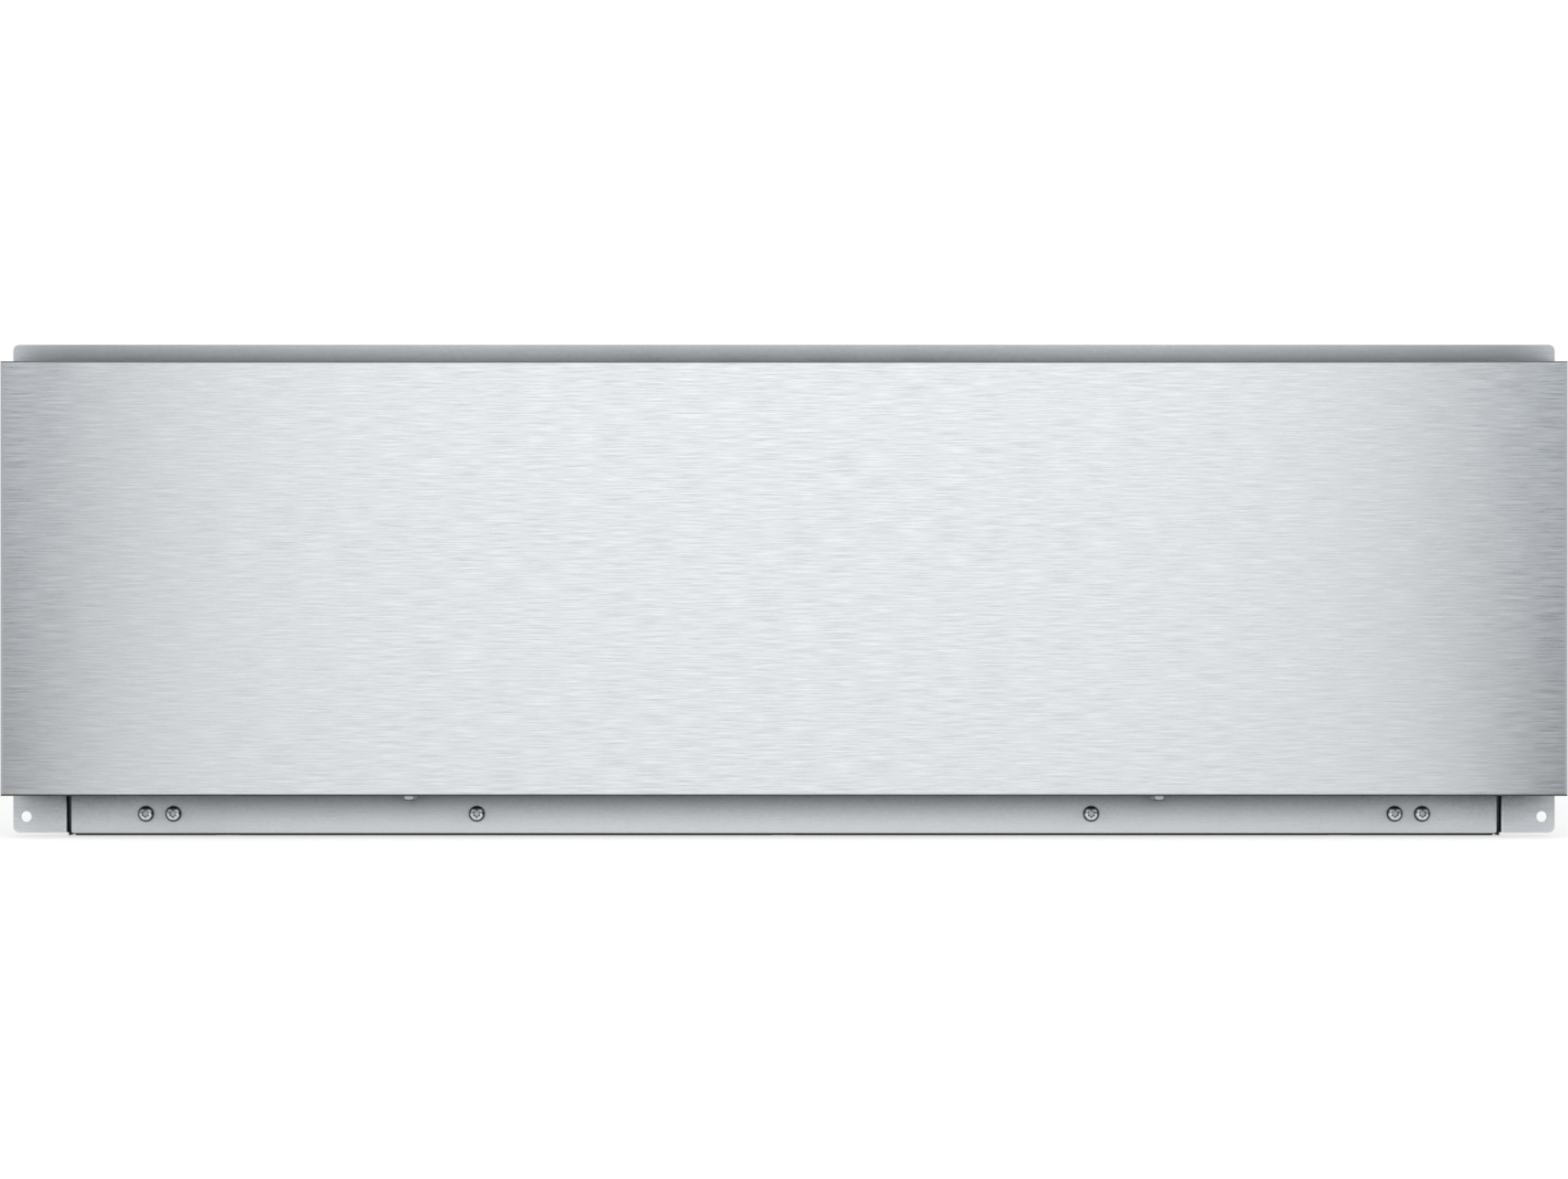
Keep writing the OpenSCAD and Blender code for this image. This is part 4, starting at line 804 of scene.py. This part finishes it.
def tube(line, radius, sides):
    """Points and faces of a round wire along a line with closed ends."""
    points = []
    faces = []
    last = len(line) - 1
    for i, (place, out) in enumerate(line):
        ahead = (line[min(i + 1, last)][0] - line[max(i - 1, 0)][0]).normalized()
        across = ahead.cross(out).normalized()
        for side in range(sides):
            angle = 2 * math.pi * side / sides
            points.append(place + (out * math.cos(angle) + across * math.sin(angle)) * radius)
    for i in range(last):
        for side in range(sides):
            near, far = i * sides + side, i * sides + (side + 1) % sides
            faces.append((near, near + sides, far + sides, far))
    faces.append(tuple(range(sides)))
    faces.append(tuple(range(last * sides + sides - 1, last * sides - 1, -1)))
    return points, faces


class DRAWER_OT_finish_front(Operator):
    """Finishes the front panel, the frame and the lower rail"""

    bl_idname = "drawer.finish_front"
    bl_label = "Finish front"

    def execute(self, context):
        front = context.scene.drawer_front
        dress(["front_panel"], brushed_panel(front))
        dress(["front_frame", "bottom_front_rail"], brushed_frame(front))
        return {"FINISHED"}


class DRAWER_OT_finish_chassis(Operator):
    """Finishes the chassis, the cavity and the drawer box"""

    bl_idname = "drawer.finish_chassis"
    bl_label = "Finish chassis"

    def execute(self, context):
        metal = context.scene.drawer_metal
        dress(GALVANISED, galvanised_sheet("galvanised_sheet", metal.zinc_tint, metal.spangle))
        dress(SATIN, satin_sheet("satin_sheet", metal.satin_tint))
        return {"FINISHED"}


class DRAWER_OT_finish_slides(Operator):
    """Finishes the slides, the strikers and the element's clips"""

    bl_idname = "drawer.finish_slides"
    bl_label = "Finish slides"

    def execute(self, context):
        plated = context.scene.drawer_metal.slide_tint
        dress(SLIDES, plated_steel("plated_steel", plated, roughness=0.24))
        return {"FINISHED"}


class DRAWER_OT_finish_screws(Operator):
    """Finishes the screws, the balls and the temperature sensor"""

    bl_idname = "drawer.finish_screws"
    bl_label = "Finish screws"

    def execute(self, context):
        steel = context.scene.drawer_metal.screw_tint
        dress(SCREWS + BRIGHT, turned_steel("turned_steel", steel))
        dress(["rail_screws"], domed_steel("rail_screws", steel))
        dress(["panel_screws"], hexagon_steel("panel_screws", steel))
        return {"FINISHED"}


class DRAWER_OT_finish_heating(Operator):
    """Finishes the heating element, its bushes and the terminal block"""

    bl_idname = "drawer.finish_heating"
    bl_label = "Finish heating"

    def execute(self, context):
        sheath = heated_sheath("heated_sheath", context.scene.drawer_metal.sheath_tint)
        dress(["heating_element"], sheath)
        ceramic = glazed("glazed_ceramic", context.scene.drawer_dark.ceramic_tint)
        dress(["element_bushes", "terminal_block"], ceramic)
        return {"FINISHED"}


class DRAWER_OT_finish_electrics(Operator):
    """Finishes the boards, the cut-out, the gland and the latches"""

    bl_idname = "drawer.finish_electrics"
    bl_label = "Finish electrics"

    def execute(self, context):
        dark = context.scene.drawer_dark
        for node in ("power_board", "control_board"):
            dress([node], circuit_board(node, dark.board_tint))
        black = moulded("black_moulding", dark.moulded_tint, roughness=0.42)
        dress(["thermal_cutout", "cord_gland", "latch_housings"], black)
        grey = moulded("plunger_moulding", dark.plunger_tint, roughness=0.34)
        dress(["left_latch_plunger", "right_latch_plunger"], grey)
        return {"FINISHED"}


class DRAWER_OT_finish_controls(Operator):
    """Finishes the control strip, its buttons and its lamps"""

    bl_idname = "drawer.finish_controls"
    bl_label = "Finish controls"

    def execute(self, context):
        dark = context.scene.drawer_dark
        gloss = moulded("gloss_strip", dark.fascia_tint, roughness=0.08, texture=0.000003)
        dress(["control_fascia"], gloss)
        for node, drawn in BUTTONS.items():
            dress([node], button_cap(node, drawn, dark.button_tint))
        dress(["indicator_lenses"], lens("amber_lens", dark.lens_tint))
        return {"FINISHED"}


class DRAWER_OT_make_insulation(Operator):
    """Makes the mineral wool batts"""

    bl_idname = "drawer.make_insulation"
    bl_label = "Make insulation"

    def execute(self, context):
        soft = context.scene.drawer_soft
        wool = mineral_wool("mineral_wool", context.scene.drawer_dark.wool_tint)
        wool_batt("top_wool", *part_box("top_insulation"), soft, wool, "chassis", "top_insulation")
        wool_batt("base_wool", *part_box("base_insulation"), soft, wool, "chassis", "base_insulation")
        wool_batt("front_wool", *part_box("front_insulation"), soft, wool, "drawer", "front_insulation")
        for name, side in (("left_wool", -1), ("right_wool", 1)):
            box = side_box("side_insulation", side)
            wool_batt(name, *box, soft, wool, "chassis", "side_insulation")
        return {"FINISHED"}


class DRAWER_OT_make_seal(Operator):
    """Makes the door seal: a foot with two lips, run round the opening"""

    bl_idname = "drawer.make_seal"
    bl_label = "Make seal"

    def execute(self, context):
        soft = context.scene.drawer_soft
        low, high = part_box("door_gasket")
        width = soft.seal_width
        tall = (high.y - low.y) * soft.lip_rise
        inset = Vector((width, 0.0, width)) / 2
        line = loop_points(low + inset, high - inset, soft.seal_corner, CORNER_STEPS)
        points = []
        faces = []
        sides = len(SEAL_OUTLINE)
        for place, out in line:
            for across, rise in SEAL_OUTLINE:
                points.append(Vector((place.x, low.y + rise * tall, place.z)) + out * across * width)
        for i in range(len(line)):
            for side in range(sides):
                here, there = i * sides, (i + 1) % len(line) * sides
                following = (side + 1) % sides
                faces.append((here + side, here + following, there + following, there + side))
        rubber = silicone("silicone_rubber", context.scene.drawer_dark.rubber_tint)
        new_piece("lip_seal", points, faces, rubber, "drawer", "seal", "door_gasket")
        return {"FINISHED"}


class DRAWER_OT_make_springs(Operator):
    """Makes the coil springs behind the latch plungers"""

    bl_idname = "drawer.make_springs"
    bl_label = "Make springs"

    def execute(self, context):
        soft = context.scene.drawer_soft
        steel = turned_steel("spring_steel", context.scene.drawer_metal.screw_tint)
        wire = soft.spring_wire / 2
        for name, side in (("left", -1), ("right", 1)):
            low, high = side_box("latch_springs", side)
            middle = (low + high) / 2
            radius = (high.x - low.x) / 2 - wire
            line = spring_line(middle, radius, low.y + wire, high.y - wire, soft.spring_turns)
            shape = tube(line, wire, WIRE_SIDES)
            piece = name + "_latch_spring"
            spring = new_piece(piece, *shape, steel, "chassis", "screw_steel", "latch_springs")
            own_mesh(spring)
        return {"FINISHED"}


class DRAWER_OT_set_studio(Operator):
    """Sets the camera, the white floor and world, the cards and the lamp"""

    bl_idname = "drawer.set_studio"
    bl_label = "Set studio"

    def execute(self, context):
        scene = context.scene
        studio = scene.drawer_studio
        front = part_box("front_panel")[0].y
        self.place_camera(scene, studio, front)
        self.lay_floor(studio)
        self.light_world(scene)
        self.stand_cards(studio, front)
        self.hang_lamp(studio)
        scene.view_settings.view_transform = "Standard"
        return {"FINISHED"}

    def place_camera(self, scene, studio, front):
        """Stands the camera straight in front of the panel."""
        camera = bpy.data.cameras.new("camera")
        camera.sensor_width = SENSOR_MM
        camera.lens = SENSOR_MM * studio.distance / studio.view_width
        camera.clip_end = FAR_CLIP
        stand = bpy.data.objects.new("camera", camera)
        stand.location = (0.0, front - studio.distance, studio.height)
        stand.rotation_euler = (math.radians(90), 0.0, 0.0)
        scene.collection.objects.link(stand)
        scene.camera = stand

    def seen_directly(self, finish):
        """1 for rays from the camera or from glossy or clear surfaces."""
        path = finish.node("ShaderNodeLightPath").socket.node.outputs
        camera, glossy, clear = (
            Term(finish, path[name])
            for name in ("Is Camera Ray", "Is Glossy Ray", "Is Transmission Ray")
        )
        return camera + glossy + clear

    def mottled(self, name, colour, roughness, spread):
        """A matte finish of the studio, hardly mottled."""
        finish = Finish(name, {"Roughness": roughness, "Specular IOR Level": 0.0})
        mottle = finish.cloud(finish.place(), scale=3.0)
        finish.paint("Base Color", finish.tone(mottle, colour, spread))
        return finish

    def surface(self, finish, factor, first, second):
        """Mixes two shaders on a finish's surface."""
        mixed = finish.node("ShaderNodeMixShader", values=[factor, first, second])
        finish.feed(finish.tree.nodes["Material Output"].inputs["Surface"], mixed)

    def lay_floor(self, studio):
        """Lays a floor that is white in pictures and reflections and keeps the object's shadow."""
        finish = self.mottled("floor", studio.floor_tint, roughness=0.9, spread=0.01)
        white = finish.node("ShaderNodeEmission", values={"Color": opaque(WHITE), "Strength": 1.0})
        lit = Term(finish, finish.shader.outputs[0])
        self.surface(finish, self.seen_directly(finish) * studio.floor_glow, lit, white)
        half, low = studio.floor_size / 2, -studio.floor_drop
        corners = [(x, y, low) for x, y in ((-half, -half), (half, -half), (half, half), (-half, half))]
        sheet("floor", corners, finish)

    def light_world(self, scene):
        """Lights everything with an even white world."""
        world = bpy.data.worlds.new("white_studio")
        world.use_nodes = True
        background = world.node_tree.nodes["Background"]
        background.inputs["Color"].default_value = opaque(WHITE)
        background.inputs["Strength"].default_value = 1.0
        scene.world = world

    def stand_cards(self, studio, front):
        """Dark cards on the floor and upright beyond the panel's ends, seen in reflections alone."""
        upright_finish = self.mottled("upright_card", studio.upright_tint, roughness=1.0, spread=0.02)
        lying_finish = self.mottled("lying_card", studio.lying_tint, roughness=1.0, spread=0.02)
        self.fade_edge(lying_finish, studio, front)
        near, far = studio.card_start, studio.card_length
        near_y, far_y = front - near, front - far
        half = studio.lying_fade / 2
        near_x, far_x = (studio.lying_gap * (1 + ahead / studio.distance) for ahead in (near, far))
        lying = [
            (near_x - half, near_y, 0.0), (near_x + studio.lying_near, near_y, 0.0),
            (far_x + studio.lying_far, far_y, 0.0), (far_x - half, far_y, 0.0),
        ]
        inner = studio.upright_gap * (1 + far / studio.distance)
        outer, top = inner + studio.upright_width, studio.upright_height
        upright = [(inner, far_y, 0.0), (outer, far_y, 0.0), (outer, far_y, top), (inner, far_y, top)]
        for name, side in (("left", -1), ("right", 1)):
            for kind, corners, finish in (
                ("lying", lying, lying_finish), ("upright", upright, upright_finish),
            ):
                placed = [(side * x - studio.card_shift, y, z) for x, y, z in corners]
                card = sheet(f"{name}_{kind}_card", placed, finish)
                card.visible_camera = False
                card.visible_diffuse = False
                card.visible_transmission = False
                card.visible_shadow = False

    def fade_edge(self, finish, studio, front):
        """Lets the lying cards fade in from their inner edges."""
        x, y, _ = finish.split(finish.place())
        edge = (front - y) * (studio.lying_gap / studio.distance) + studio.lying_gap
        part = finish.clamp((abs(x + studio.card_shift) - edge) * (1 / studio.lying_fade) + 0.5)
        clear = finish.node("ShaderNodeBsdfTransparent")
        self.surface(finish, part, clear, Term(finish, finish.shader.outputs[0]))

    def hang_lamp(self, studio):
        """Hangs one soft lamp over and in front of the object."""
        lamp = bpy.data.lights.new("overhead_lamp", "AREA")
        lamp.shape = "RECTANGLE"
        lamp.size = studio.lamp_length
        lamp.size_y = studio.lamp_width
        lamp.energy = studio.lamp_power
        hung = bpy.data.objects.new("overhead_lamp", lamp)
        hung.location = (0.0, -studio.lamp_ahead, studio.lamp_height)
        hung.rotation_euler = (studio.lamp_tilt, 0.0, 0.0)
        bpy.context.scene.collection.objects.link(hung)


def sheet(name, corners, finish):
    """A flat sheet of the studio, which isn't part of the object."""
    mesh = bpy.data.meshes.new(name)
    mesh.from_pydata(corners, [], [(0, 1, 2, 3)])
    mesh.materials.append(finish.material)
    made = bpy.data.objects.new(name, mesh)
    bpy.context.scene.collection.objects.link(made)
    return made


STEPS = (
    DRAWER_OT_finish_front, DRAWER_OT_finish_chassis, DRAWER_OT_finish_slides,
    DRAWER_OT_finish_screws, DRAWER_OT_finish_heating, DRAWER_OT_finish_electrics,
    DRAWER_OT_finish_controls, DRAWER_OT_make_insulation, DRAWER_OT_make_seal,
    DRAWER_OT_make_springs, DRAWER_OT_set_studio,
)


class DRAWER_PT_steps(Panel):
    """Lists the steps that make the warming drawer"""

    bl_idname = "DRAWER_PT_steps"
    bl_label = "Warming Drawer"
    bl_space_type = "VIEW_3D"
    bl_region_type = "UI"
    bl_category = "Drawer"

    def draw(self, context):
        """One button for each step."""
        for step in STEPS:
            self.layout.operator(step.bl_idname)


GROUPS = {
    "drawer_front": FrontFinish,
    "drawer_metal": MetalFinish,
    "drawer_dark": DarkFinish,
    "drawer_soft": SoftSizes,
    "drawer_studio": Studio,
}
CLASSES = (*GROUPS.values(), *STEPS, DRAWER_PT_steps)


def register():
    """Adds the classes and their settings to Blender."""
    for each in CLASSES:
        bpy.utils.register_class(each)
    for name, group in GROUPS.items():
        setattr(bpy.types.Scene, name, PointerProperty(type=group))


def unregister():
    """Takes the settings and the classes out again."""
    for name in GROUPS:
        delattr(bpy.types.Scene, name)
    for each in reversed(CLASSES):
        bpy.utils.unregister_class(each)


def main():
    """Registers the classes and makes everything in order."""
    register()
    bpy.ops.drawer.finish_front()
    bpy.ops.drawer.finish_chassis()
    bpy.ops.drawer.finish_slides()
    bpy.ops.drawer.finish_screws()
    bpy.ops.drawer.finish_heating()
    bpy.ops.drawer.finish_electrics()
    bpy.ops.drawer.finish_controls()
    bpy.ops.drawer.make_insulation()
    bpy.ops.drawer.make_seal()
    bpy.ops.drawer.make_springs()
    bpy.ops.drawer.set_studio()


if __name__ == "__main__":
    main()
